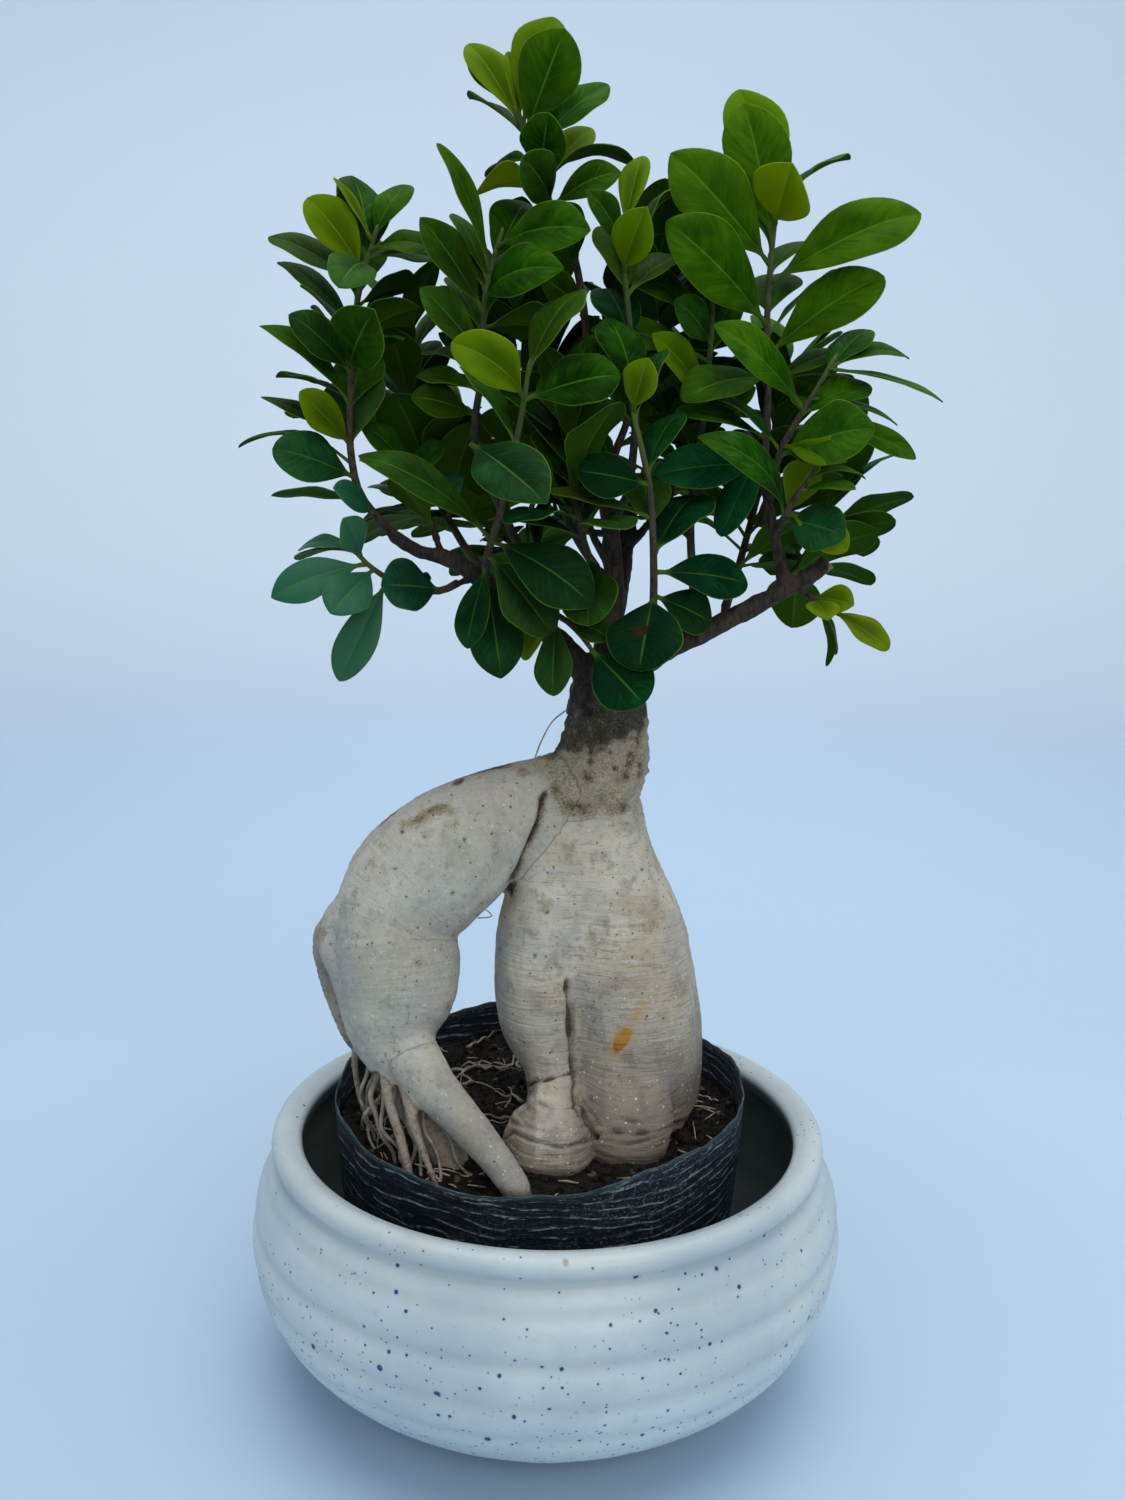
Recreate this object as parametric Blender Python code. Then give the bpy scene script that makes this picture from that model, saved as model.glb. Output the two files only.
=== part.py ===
"""Ginseng ficus in a glazed stoneware bowl.

Lengths are in millimetres and become metres when a mesh is made. The origin is the middle of the
bowl's underside, +Z is up and -Y is the front. Outlines of the plant were read as they appear
against its middle plane (y = 0) from a viewpoint in front, and seen_at moves a reading to its depth.
"""

import math
import random

import bmesh
import bpy
import numpy as np
from mathutils import Vector
from mathutils.bvhtree import BVHTree

MM = 0.001
VIEW = Vector((3.0, -545.5, 367.8))
CLEAR = 0.3
TURN = math.tau

# Bowl
BOWL_OUTER = (
    (0.0, 0.0), (81.0, 0.0), (91.5, 5.0), (105.0, 15.0), (118.6, 27.0),
    (128.8, 42.0), (133.6, 60.0), (132.8, 77.0), (129.0, 91.0), (123.6, 100.6), (125.0, 106.6),
    (123.5, 110.8), (119.5, 112.4),
)
BOWL_INNER = (
    (112.2, 109.0), (113.2, 102.0), (121.0, 89.0), (125.2, 70.0), (120.4, 46.0),
    (106.0, 25.0), (92.0, 12.8), (84.0, 8.6), (0.0, 8.5),
)
BOWL_SIDES = 36

# Grow bag and soil
BAG_AT = Vector((-4.0, 5.0, 0.0))
BAG_WALL = 1.0
BAG_OUTER = ((75.5, 8.8), (83.0, 30.0), (90.0, 70.0), (93.0, 109.0))
BAG_RIM = 128.0
BAG_DIP = 11.0
BAG_DIP_AT = math.radians(-115.0)
BAG_SIDES = 32
SOIL_TOP = 112.0
SOIL_SIDES = 28
HOLE_ROOM = 2.0
HOLE_TRIANGLES = 340

# Root limbs: middle line x, y, z with the half widths across and fore-and-aft
ROOT_LIMBS = (
    ((22, 2, 306, 17, 16), (22, 2, 290, 19, 18), (20, 2, 276, 21, 20), (18, 2, 262, 20, 20),
     (19, 3, 248, 22, 23), (21, 4, 232, 25, 27), (25, 5, 212, 30, 31), (30, 5, 190, 33, 34),
     (34, 5, 167, 32, 36), (37, 4, 145, 31, 36), (39, 2, 128, 29, 33), (41, 0, 115, 26, 29),
     (41, 0, 103, 20, 22)),
    ((10, 2, 255, 14, 16), (3, 1, 238, 15, 18), (-2, 0, 218, 19, 23), (-5, -1, 195, 20.5, 26),
     (-5, -3, 170, 20, 27), (-3, -6, 153, 18, 23), (1, -11, 140, 13, 17), (3, -16, 130, 12.5, 16),
     (4, -24, 118, 15, 17), (3, -28, 104, 12, 14)),
    ((31, 8, 262, 5, 7), (34, 12, 240, 8, 9), (49.5, 15, 200, 10, 11), (59, 17, 165, 10.5, 11),
     (62, 14, 135, 10, 11), (59, 9, 104, 10, 10)),
    ((3, -24, 136, 7, 8), (2, -34, 129, 13, 12), (1, -41, 120, 17.5, 17), (1, -43, 112, 18, 19),
     (1, -42, 103, 15, 14)),
    ((2, -30, 126, 8, 8), (-9, -36, 122, 9, 9), (-14, -38, 116, 6, 7), (-15, -38, 104, 4, 6)),
    ((32, -12, 152, 14, 10), (34, -23, 134, 19, 12), (35, -33, 123, 20, 13), (35, -39, 114, 17, 14),
     (35, -38, 104, 13, 11)),
    ((18, 0, 268, 16, 16), (-5, -2, 262, 17, 17), (-20, -5, 253, 23, 22), (-36, -9, 243, 28, 26),
     (-51, -13, 232, 30, 28), (-63, -17, 219, 30, 28), (-68, -20, 205, 27, 26),
     (-66, -24, 190, 27, 26), (-65, -28, 177, 25, 24), (-65, -32, 166, 21, 20),
     (-63, -36, 157, 15, 15), (-57, -42, 150, 11, 11)),
    ((-80, -19, 215, 14, 12), (-93, -20, 206, 9, 8), (-101, -20, 199, 5, 5)),
    ((-62, -38, 158, 13, 13), (-48, -50, 145, 10, 10), (-33, -62, 134, 8, 8),
     (-20, -72, 124, 7, 7), (-12, -77, 115, 6, 6), (-9, -78, 104, 5.5, 5.5)),
    ((-99, -18, 203, 5, 4.5), (-102.5, -8, 190, 5, 4), (-99, 0, 168, 5, 4), (-91.5, 4, 145, 5, 4),
     (-80, 12, 125, 5, 4), (-76, 15, 104, 5, 4)),
    ((-66, -25, 150, 10, 10), (-63, -30, 138, 9, 9), (-55, -38, 128, 8.5, 8.5),
     (-42, -50, 116, 8, 8), (-36, -55, 104, 7, 7)),
    ((-70, -32, 156, 4, 4), (-68, -48, 142, 2.8, 2.8), (-60, -59, 124, 2.4, 2.4),
     (-54, -66, 104, 2.2, 2.2)),
    ((-62, -42, 150, 4, 4), (-56, -58, 134, 2.6, 2.6), (-48, -67, 118, 2.3, 2.3),
     (-42, -70, 104, 2.2, 2.2)),
    ((-78, -24, 165, 4, 4), (-86, -22, 146, 2.6, 2.6), (-84, -16, 124, 2.4, 2.4),
     (-80, -12, 104, 2.2, 2.2)),
)
ROOT_TOP = 300.0
ROOT_TRIANGLES = 1540

# Grafted wood: middle line x, y, z and radius, thick end first
WOOD_LIMBS = {
    "trunk": ((20, 2, 300.3, 15.5), (20, 2, 306, 15), (21.5, 2, 317, 12), (23, 3, 326, 7)),
    "right": ((24, 0, 311, 9), (45, -4, 326, 7.5), (66, -6, 337, 6.5), (90, -6, 350, 5.5),
              (105, -5, 358, 5.5), (115, -5, 366, 5)),
    "centre": ((20, 2, 312, 9), (24, 5, 345, 6), (22, 8, 375, 5), (18, 8, 404, 4)),
    "left": ((16, 2, 312, 8), (-5, 0, 334, 6), (-28, -2, 351, 5), (-45, -2, 363, 4.4),
             (-61, -2, 367, 3.8), (-71, -2, 373, 3.4)),
    "back": ((20, 6, 312, 8), (25, 30, 342, 6.5), (30, 48, 368, 5.2), (33, 62, 392, 4.4)),
    "shoot": ((98, -5, 353, 5), (94, -3, 368, 3.8), (90, 0, 384, 3.3), (87, 2, 398, 2.8)),
}
SPUR = 4.0
STEM_SIDES = 4

# Leaf shape: place along the blade and share of the half width there
LEAF_SHAPE = ((0.26, 0.76), (0.58, 1.06), (0.87, 0.74))
SHORT_LEAF_SHAPE = ((0.34, 0.96), (0.77, 1.0))
SHORT_LEAF = 56.0
LEAF_KINDS = {"young": (0.30, 0.75), "mature": (0.20, 0.85), "old": (0.12, 0.9), "plain": (0.0, 0.85)}
KEEP_CLEAR = 2.0
NUDGES = (
    (0, 0), (8, 0), (-8, 0), (0, 14), (0, -14), (15, 0), (-15, 0), (8, 20), (-8, -20), (8, -20),
    (-8, 20), (22, 10), (-22, -10), (22, -20), (-22, 20), (30, 0), (-30, 0), (0, 30), (0, -30),
    (15, 35), (-15, -35), (15, -35), (-15, 35), (38, 15), (-38, -15), (38, -25), (-38, 25),
)

# Leafy stems that the front shows: path points are x, z as seen and depth.
# Leaf rows: root x, z as seen, tip x, z as seen, reach of the tip past the root, width,
# face angle (90 shows the upper side, 0 the edge), bow and kind.
STEMS = {
    "top_tip": {
        "path": ((18, 404, 8), (12, 432, 6), (9, 462, 4), (4, 488, 2), (-2.5, 502, 0),
                 (-9, 515, -2), (-14.5, 529, -4), (-20, 541.5, -5)),
        "leaves": (
            (-19.5, 540, -41, 571, 8, 17, 55, 0.06, "young"),
            (-17, 536, -2, 577, -8, 25, 80, 0.05, "mature"),
            (-18, 539, -7, 581.5, 12, 22, 75, 0.05, "young"),
            (-14, 531, 16, 556.5, 10, 17, 50, 0.05, "mature"),
            (-11, 519, -8.5, 544.5, -22, 19, 70, 0.08, "mature"),
            (-7, 510, -18.5, 527.6, -28, 19, 60, 0.08, "mature"),
            (-15, 526, -33, 520.5, 24, 13, 15, 0.1, "mature"),
            (-18, 537, -40, 551, 22, 18, 8, 0.03, "mature"),
            (-10, 518, 9.7, 539.5, 20, 14, 60, 0.05, "young"),
            (-19, 541, -24, 568, 10, 10, 60, 0.03, "young"),
            (-10, 517, 28.7, 526, 8, 20, -12, 0.2, "mature"),
            (-7, 508, 22, 523, -10, 18, 45, 0.1, "mature"),
            (-9, 513, -39, 512, -14, 20, -30, 0.18, "young"),
            (5, 486, -6, 509, -24, 20, 60, 0.08, "mature"),
            (8.5, 467, -10, 481, -14, 14, 60, 0.06, "mature"),
        ),
    },
    "top_middle": {
        "path": ((22, 376, 8), (29, 395, -4), (31, 420, -12), (30, 440, -16), (27, 465, -18),
                 (24, 488, -18), (24, 500, -18)),
        "leaves": (
            (24, 499, 30.7, 530, 18, 12, 65, 0.05, "young"),
            (23, 492, 8.6, 515.5, -12, 14, 45, 0.08, "mature"),
            (25, 484, 33, 509, -26, 17, 70, 0.1, "young"),
            (26, 474, 50, 490, 26, 20, 30, 0.08, "mature"),
            (29, 450, 8, 447, -6, 20, 40, 0.08, "mature"),
        ),
    },
    "centre_left": {
        "path": ((-8, 337, 0), (-14, 362, 8), (-29, 393, 8), (-37, 413, 4), (-36, 430, 0),
                 (-33, 447, -8), (-34, 466, -12), (-31, 484, -14), (-28, 494, -15)),
        "leaves": (
            (-33, 447, -60, 476, -12, 16, 55, 0.05, "mature"),
            (-34, 466, -60.5, 503.5, -10, 19, 50, 0.04, "mature"),
            (-31.5, 482, -52.3, 533, -4, 13, 28, 0.04, "mature"),
            (-33, 478, -46.6, 505.7, 22, 14, 40, 0.05, "mature"),
            (-30.5, 486, -17, 511, 16, 21, 70, 0.08, "mature"),
            (-28, 492, 9.5, 500.5, -20, 22, 55, 0.13, "mature"),
            (-33.5, 469, -1, 484.7, -28, 22, 45, 0.19, "mature"),
            (-33.5, 460, -4, 460, 8, 24, -35, 0.08, "mature"),
            (-33.5, 456, -49, 480, 20, 14, 35, 0.05, "mature"),
            (-35, 437, -4, 420.5, -30, 12, 25, 0.05, "mature"),
            (-36, 424, -64, 431.5, -14, 17, 50, 0.08, "mature"),
            (-35.5, 434, -62, 440, -2, 15, 30, 0.1, "mature"),
            (-34, 442, -58, 449, 20, 18, 20, 0.1, "mature"),
            (-37, 413, -6, 392, -40, 23, 60, 0.06, "old"),
        ),
    },
    "front_left": {
        "path": ((-32, 354, -4), (-31, 366, -24), (-25, 387, -36), (-20, 410, -42),
                 (-16.5, 430, -46), (-15, 441, -47)),
        "leaves": (
            (-16, 431, -47, 454, -16, 21, 60, 0.22, "young"),
            (-16, 431, 24, 442.5, -4, 25, 50, 0.06, "mature"),
            (-30, 372, 15, 345.4, -16, 26, 62, 0.08, "old"),
            (-31, 366, -3, 332.5, 4, 24, 65, 0.06, "old"),
            (-32, 362, -40, 325.5, -8, 15, 60, 0.05, "old"),
            (-30, 372, -86.4, 407, -10, 18, 45, 0.13, "mature"),
        ),
    },
    "left_inner": {
        "path": ((-50, 366, -2), (-55, 378, 8), (-60, 389, 14), (-64, 398, 16)),
        "leaves": (
            (-55, 377, -73, 398, -8, 20, -40, 0.06, "mature"),
            (-58, 384, -42, 398, -8, 16, 40, 0.05, "old"),
            (-62, 393, -85, 420, -8, 17, 40, 0.12, "mature"),
            (-64, 397, -50, 412, -12, 14, 40, 0.1, "mature"),
        ),
    },
    "left_top": {
        "path": ((-73, 375, -2), (-81, 383.5, -2), (-87, 393, -2), (-90, 410, -2), (-90, 430, -2),
                 (-89, 447, -3), (-87, 468, -4), (-83, 484, -5), (-80, 494, -6)),
        "leaves": (
            (-84, 481, -107, 510.5, -8, 20, 60, 0.05, "young"),
            (-80, 493, -96, 518.5, -2, 8, 25, 0.02, "young"),
            (-86, 475, -123.5, 495, 6, 19, 35, 0.06, "mature"),
            (-88, 458, -118.5, 485.5, 10, 18, 30, 0.06, "mature"),
            (-89, 451, -110, 475.5, 24, 14, 12, 0.04, "mature"),
            (-89.5, 440, -105, 467.5, 30, 14, 10, 0.04, "mature"),
            (-83, 484, -94, 476, -32, 19, 60, 0.1, "mature"),
            (-81, 490, -56, 491.5, -10, 16, 30, 0.1, "mature"),
            (-82, 487, -51, 486, 16, 14, 30, 0.08, "mature"),
            (-88.5, 453, -60, 468, -8, 24, -35, 0.08, "mature"),
            (-87, 467, -62, 476, 16, 22, -20, 0.08, "mature"),
            (-89, 443, -80, 466, -33, 25, 60, 0.1, "mature"),
            (-90, 427, -127, 460, -6, 16, 28, 0.1, "mature"),
            (-89.5, 440, -115, 464, -16, 17, 60, 0.08, "mature"),
            (-90, 412, -127.7, 430, 8, 14, 25, 0.04, "mature"),
            (-90, 411, -111, 432.5, -20, 15, 65, 0.06, "young"),
            (-89, 402, -137.5, 410, 10, 14, 10, 0.16, "mature"),
            (-88, 397, -123, 409, -15, 23, 62, 0.06, "mature"),
            (-83, 387, -124, 389.5, -14, 16, -14, 0.03, "mature"),
            (-80, 382, -97, 393, -22, 14, 40, 0.06, "old"),
        ),
    },
    "left_low": {
        "path": ((-36, 357, -2), (-52, 350, -16), (-66, 351, -19), (-76, 356, -20),
                 (-83, 361, -20), (-88, 366, -20)),
        "leaves": (
            (-87, 366, -112.5, 367, 8, 13, 28, 0.16, "old"),
            (-83, 361, -125, 346.3, -10, 19, 60, 0.08, "old"),
            (-86, 364, -93, 380, -16, 14, 60, 0.08, "old"),
            (-80, 359, -99, 339.5, -20, 19, 75, 0.05, "old"),
            (-74, 355, -96, 310, -6, 17, 70, 0.05, "old"),
            (-51, 351, -77, 352, -16, 23, 65, 0.05, "old"),
            (-38, 356, -27, 312, 2, 22, 70, 0.06, "old"),
        ),
    },
    "low_centre": {
        "path": ((-5, 335, 0), (-2, 341, -14), (4, 338, -24), (11, 331, -30), (16, 324, -33)),
        "leaves": (
            (-1, 340, -1.7, 305.3, -6, 17, 65, 0.05, "old"),
            (15, 326, 38, 302.5, -14, 27, 70, 0.06, "old"),
            (-2, 341, -16, 322, 10, 13, 50, 0.05, "young"),
            (3, 339, 23, 331, -8, 15, 50, 0.06, "old"),
        ),
    },
    "front_centre": {
        "path": ((40, 325, -4), (41, 340, -16), (41, 355, -26), (40, 375, -30), (38, 395, -32),
                 (34, 412, -34), (30, 426, -35), (29, 434, -35)),
        "leaves": (
            (40, 350, 35.6, 317.7, -22, 31, 75, 0.08, "old"),
            (41, 350, 67, 338.5, 6, 20, 65, 0.06, "old"),
            (41, 360, 82, 356, 12, 20, 60, 0.06, "old"),
            (38, 397, 7, 402, -10, 20, 60, 0.05, "old"),
            (30, 427, 35.5, 449, -12, 14, 75, 0.05, "young"),
            (39.5, 383, -5, 394, -6, 11, 25, 0.03, "mature"),
        ),
    },
    "right_centre": {
        "path": ((60, 335, -4), (58, 355, 10), (56, 380, 14), (57, 405, 14), (60, 425, 10),
                 (61, 445, 6), (62, 462, 4), (62, 472, 4)),
        "leaves": (
            (60, 430, 37, 459, -24, 16, 45, 0.08, "young"),
            (61.5, 455, 46.5, 472.5, -18, 17, 50, 0.08, "mature"),
            (61, 448, 11.5, 461, -12, 17, 40, 0.08, "mature"),
            (62, 462, 17, 489, -10, 19, 45, 0.08, "mature"),
            (62, 470, 55, 492, 16, 18, 50, 0.06, "mature"),
            (57, 408, 36, 424, 14, 17, -30, 0.08, "mature"),
        ),
    },
    "right_upper": {
        "path": ((87, 398, 2), (86.5, 418, 4), (86.5, 440, 6), (85, 460, 8), (85, 480, 9),
                 (86, 500, 9), (87, 511, 9)),
        "leaves": (
            (85.5, 495, 71.4, 551, 2, 27, 80, 0.04, "mature"),
            (86, 503, 69.5, 556, 14, 26, 70, 0.04, "young"),
            (87, 507, 83.4, 533, 20, 12, 60, 0.04, "young"),
            (87, 504, 92, 527, -26, 27, 70, 0.08, "young"),
            (85, 480, 146.5, 510, -10, 28, 55, 0.07, "mature"),
            (85, 487, 42.7, 531, -8, 30, 65, 0.06, "mature"),
            (85, 463, 41.5, 504, -16, 30, 60, 0.07, "mature"),
            (86, 451, 132.7, 484.5, -8, 25, 60, 0.06, "mature"),
            (85.5, 459, 112, 486.5, 22, 16, 8, 0.03, "old"),
            (86.5, 441, 50.5, 432.5, -18, 22, 40, 0.1, "mature"),
            (86.5, 417, 48, 428, -6, 15, 30, 0.08, "mature"),
            (86.5, 438, 123, 454, 6, 18, 25, 0.08, "old"),
            (87, 406, 40, 401.5, -18, 20, 60, 0.08, "old"),
            (86.5, 415, 69, 376, -14, 16, 65, 0.05, "old"),
        ),
    },
    "right_middle": {
        "path": ((89, 390, 1), (89.5, 401, -8), (93, 412, -11), (99, 424, -13), (106, 436, -14),
                 (112, 447, -14)),
        "leaves": (
            (92, 410, 132, 423, -18, 27, 60, 0.08, "mature"),
            (100, 427, 130, 440, 2, 18, 40, 0.08, "mature"),
            (112, 446, 161, 434.5, -2, 14, 8, 0.05, "mature"),
            (105, 434, 142.4, 424.5, 20, 11, 15, 0.05, "old"),
            (98, 422, 151, 410.5, 4, 16, 35, 0.1, "mature"),
            (112, 446, 145.5, 451.8, 14, 13, 30, 0.12, "mature"),
            (110, 443, 127, 463, 14, 18, 40, 0.05, "old"),
            (102, 429, 63.6, 464, -16, 20, 45, 0.08, "mature"),
            (94, 414, 121, 409, -24, 13, 60, 0.06, "young"),
        ),
    },
    "right_low": {
        "path": ((92, 376, -2), (94, 384, -13), (99, 391, -18), (104, 398, -22), (107, 403, -23)),
        "leaves": (
            (95, 386, 109, 408.5, -12, 19, -50, 0.06, "young"),
            (94, 384, 122.4, 377, -10, 21, 72, 0.08, "old"),
            (96, 387, 124, 371, -8, 16, 60, 0.06, "young"),
            (94, 384, 59, 418, -14, 17, 45, 0.18, "mature"),
            (105, 400, 130, 401.5, 4, 11, 15, 0.16, "mature"),
            (102, 396, 126, 397.5, -10, 12, 20, 0.06, "mature"),
        ),
    },
    "limb_end": {
        "path": ((101, 356, -5), (108, 351, -19), (114, 347.5, -22), (119, 345, -22)),
        "leaves": (
            (110, 351, 128, 347.7, -10, 14, 55, 0.06, "young"),
            (112, 350, 117, 341.5, -20, 13, 60, 0.05, "young"),
            (118, 345, 144.5, 329, -4, 13, 50, 0.04, "young"),
            (109, 352, 118, 321, 2, 9, 10, 0.14, "mature"),
            (114, 348, 121.5, 326.5, 12, 10, 8, 0.05, "mature"),
        ),
    },
}

# Leafy stems behind and inside: same path points, then the number of leaves
SHOOTS = {
    "back_centre": (((27, 354, 38), (13, 378, 44), (3, 408, 54), (-5, 438, 60), (-8, 464, 62)), 12),
    "back_right": (((30, 368, 48), (46, 390, 58), (54, 422, 68), (58, 452, 72)), 13),
    "back_left": (((24, 342, 28), (-8, 362, 56), (-34, 382, 76), (-48, 404, 84)), 11),
    "inner_right": (((19, 398, 8), (28, 425, 24), (35, 455, 32), (38, 482, 34)), 13),
    "inner_left": (((24, 350, 5), (6, 376, 24), (-13, 420, 36), (-20, 448, 42), (-23, 474, 44)), 11),
    "side_right": (((70, 339, -4), (77, 362, 28), (84, 392, 46), (90, 418, 54), (92, 440, 58)), 13),
    "side_left": (((-27, 351, -2), (-44, 374, 26), (-58, 400, 42), (-64, 426, 48), (-66, 450, 50)), 11),
    "far_back": (((33, 390, 62), (36, 402, 84), (40, 414, 104), (41, 428, 116)), 10),
    "far_left": (((31, 374, 53), (8, 378, 84), (-8, 390, 106), (-16, 404, 118)), 10),
    "far_right": (((88, 349, -6), (102, 362, 26), (112, 382, 42), (114, 400, 48)), 9),
    "inner_front": (((24, 345, 5), (12, 368, -16), (5, 392, -24), (3, 418, -27)), 7),
}
SHOOT_SEED = 411


def seen_at(x, z, depth):
    """The point at this depth that is seen at x, z against the middle plane."""
    share = (depth - VIEW.y) / -VIEW.y
    return Vector((VIEW.x + (x - VIEW.x) * share, depth, VIEW.z + (z - VIEW.z) * share))


def new_object(name, verts, faces):
    mesh = bpy.data.meshes.new(name)
    mesh.from_pydata([tuple(v) for v in verts], [], faces)
    mesh.update()
    item = bpy.data.objects.new(name, mesh)
    bpy.context.scene.collection.objects.link(item)
    return item


def in_metres(verts):
    return [Vector(v) * MM for v in verts]


def applied(item):
    """Replaces the object's mesh with the mesh that its modifiers give."""
    graph = bpy.context.evaluated_depsgraph_get()
    mesh = bpy.data.meshes.new_from_object(item.evaluated_get(graph))
    old = item.data
    item.modifiers.clear()
    item.data = mesh
    mesh.name = item.name
    bpy.data.meshes.remove(old)
    return item


def turned(rings, sides):
    """Closed solid from rings of points, the first and last ring a single point each."""
    verts = []
    rows = []
    for ring in rings:
        rows.append([len(verts) + i for i in range(len(ring))])
        verts.extend(ring)
    faces = []
    for low, high in zip(rows, rows[1:]):
        for i in range(sides):
            j = (i + 1) % sides
            if len(low) == 1:
                faces.append((low[0], high[j], high[i]))
            elif len(high) == 1:
                faces.append((low[i], low[j], high[0]))
            else:
                faces.append((low[i], low[j], high[j], high[i]))
    return verts, faces


def ring_at(radius, height, sides, centre):
    """One ring of a turned form, or its middle point where the radius is nought."""
    if radius == 0.0:
        return [Vector((centre.x, centre.y, height))]
    return [
        Vector((
            centre.x + radius * math.cos(TURN * i / sides),
            centre.y + radius * math.sin(TURN * i / sides),
            height,
        ))
        for i in range(sides)
    ]


def smooth_path(points, step):
    """Curve through the points, given as tuples that start with x, y, z, sampled every step."""
    values = [np.array(p, dtype=float) for p in points]
    ends = [2 * values[0] - values[1]] + values + [2 * values[-1] - values[-2]]
    out = []
    for a, b, c, d in zip(ends, ends[1:], ends[2:], ends[3:]):
        count = max(1, round(float(np.linalg.norm((c - b)[:3])) / step))
        for k in range(count):
            t = k / count
            out.append(0.5 * (
                2 * b + (c - a) * t + (2 * a - 5 * b + 4 * c - d) * t * t
                + (3 * b - a - 3 * c + d) * t ** 3
            ))
    out.append(values[-1])
    return out


def tube(stations, sides):
    """Closed tube along stations of x, y, z and two half widths."""
    places = [Vector(s[:3]) for s in stations]
    first = (places[1] - places[0]).normalized()
    aft = Vector((1.0, 0.0, 0.0)) if abs(first.y) > 0.7 else Vector((0.0, 1.0, 0.0))
    verts = []
    for i, place in enumerate(places):
        along = (places[min(i + 1, len(places) - 1)] - places[max(i - 1, 0)]).normalized()
        aft = (aft - along * along.dot(aft)).normalized()
        across = along.cross(aft)
        for k in range(sides):
            angle = TURN * k / sides
            verts.append(place + across * (stations[i][3] * math.cos(angle))
                         + aft * (stations[i][4] * math.sin(angle)))
    faces = [tuple(range(sides)), tuple(reversed(range(len(verts) - sides, len(verts))))]
    for i in range(len(places) - 1):
        for k in range(sides):
            low = i * sides
            j = (k + 1) % sides
            faces.append((low + k, low + sides + k, low + sides + j, low + j))
    return verts, faces


def round_tube(stations, sides):
    return tube([(*s[:3], s[3], s[3]) for s in stations], sides)


def make_bowl():
    centre = Vector((0.0, 0.0, 0.0))
    rings = [ring_at(r, z, BOWL_SIDES, centre) for r, z in BOWL_OUTER + BOWL_INNER]
    verts, faces = turned(rings, BOWL_SIDES)
    return new_object("ceramic_bowl", in_metres(verts), faces)


def bag_edge(angle):
    """Height of the bag's rim, lowest at the front left."""
    near = 0.5 + 0.5 * math.cos(angle - BAG_DIP_AT)
    return BAG_RIM - BAG_DIP * near ** 3 + 0.9 * math.sin(5 * angle) + 0.6 * math.sin(11 * angle)


def bag_wave(angle):
    return 0.9 + 0.5 * math.sin(3 * angle + 1.0) + 0.4 * math.sin(8 * angle)


def bag_ring(radius, height, share):
    """Ring of the bag's wall; share runs from 0 at the soil to 1 at the rim."""
    out = []
    for i in range(BAG_SIDES):
        angle = TURN * i / BAG_SIDES
        reach = radius + share * bag_wave(angle)
        z = height + share * (bag_edge(angle) - height)
        out.append(Vector((BAG_AT.x + reach * math.cos(angle), BAG_AT.y + reach * math.sin(angle), z)))
    return out


def make_bag():
    low = BAG_OUTER[0][1]
    top = BAG_OUTER[-1]
    rings = [ring_at(0.0, low, BAG_SIDES, BAG_AT)]
    rings += [bag_ring(r, z, 0.0) for r, z in BAG_OUTER]
    rings += [bag_ring(top[0], top[1], 1.0), bag_ring(top[0] - BAG_WALL, top[1], 1.0)]
    rings += [bag_ring(r - BAG_WALL, z, 0.0) for r, z in reversed(BAG_OUTER[1:])]
    rings += [bag_ring(BAG_OUTER[0][0] - BAG_WALL, low + BAG_WALL, 0.0)]
    rings += [ring_at(0.0, low + BAG_WALL, BAG_SIDES, BAG_AT)]
    verts, faces = turned(rings, BAG_SIDES)
    return new_object("grow_bag", in_metres(verts), faces)


def soil_height(x, y):
    return SOIL_TOP + 1.1 * math.sin(0.09 * x + 1.0) * math.cos(0.07 * y) + 0.6 * math.sin(0.21 * y)


def make_soil(root):
    """Soil that fills the bag, with holes that follow the roots standing in it."""
    low = BAG_OUTER[0][1] + BAG_WALL + CLEAR
    rings = [ring_at(0.0, low, SOIL_SIDES, BAG_AT)]
    rings += [ring_at(BAG_OUTER[0][0] - BAG_WALL - 0.6, low, SOIL_SIDES, BAG_AT)]
    for radius, height in BAG_OUTER[1:-1]:
        rings.append(ring_at(radius - BAG_WALL - 0.6, height, SOIL_SIDES, BAG_AT))
    for radius in (91.0, 68.0, 36.0, 0.0):
        ring = ring_at(radius, SOIL_TOP, SOIL_SIDES, BAG_AT)
        rings.append([Vector((p.x, p.y, soil_height(p.x, p.y))) for p in ring])
    verts, faces = turned(rings, SOIL_SIDES)
    soil = new_object("potting_soil", in_metres(verts), faces)
    cut_away(soil, hole_tool(root))
    return soil


def hole_tool(root):
    """The root's foot, swollen and evened out, which leaves its room in the soil."""
    tool = new_object("hole_tool", [], [])
    tool.data = root.data.copy()
    swell(tool.data, HOLE_ROOM * MM)
    even = tool.modifiers.new("even", "REMESH")
    even.mode = "VOXEL"
    even.voxel_size = 1.2 * MM
    applied(tool)
    cut_flat(tool.data, SOIL_TOP + 8.0)
    plain = tool.modifiers.new("plain", "DECIMATE")
    tool.data.calc_loop_triangles()
    plain.ratio = HOLE_TRIANGLES / len(tool.data.loop_triangles)
    return applied(tool)


def cut_away(item, tool):
    cut = item.modifiers.new("holes", "BOOLEAN")
    cut.operation = "DIFFERENCE"
    cut.solver = "EXACT"
    cut.object = tool
    applied(item)
    bpy.data.objects.remove(tool)


def swell(mesh, distance):
    shape = bmesh.new()
    shape.from_mesh(mesh)
    shape.normal_update()
    moves = [v.normal * distance for v in shape.verts]
    for vertex, move in zip(shape.verts, moves):
        vertex.co += move
    shape.to_mesh(mesh)
    shape.free()


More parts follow.
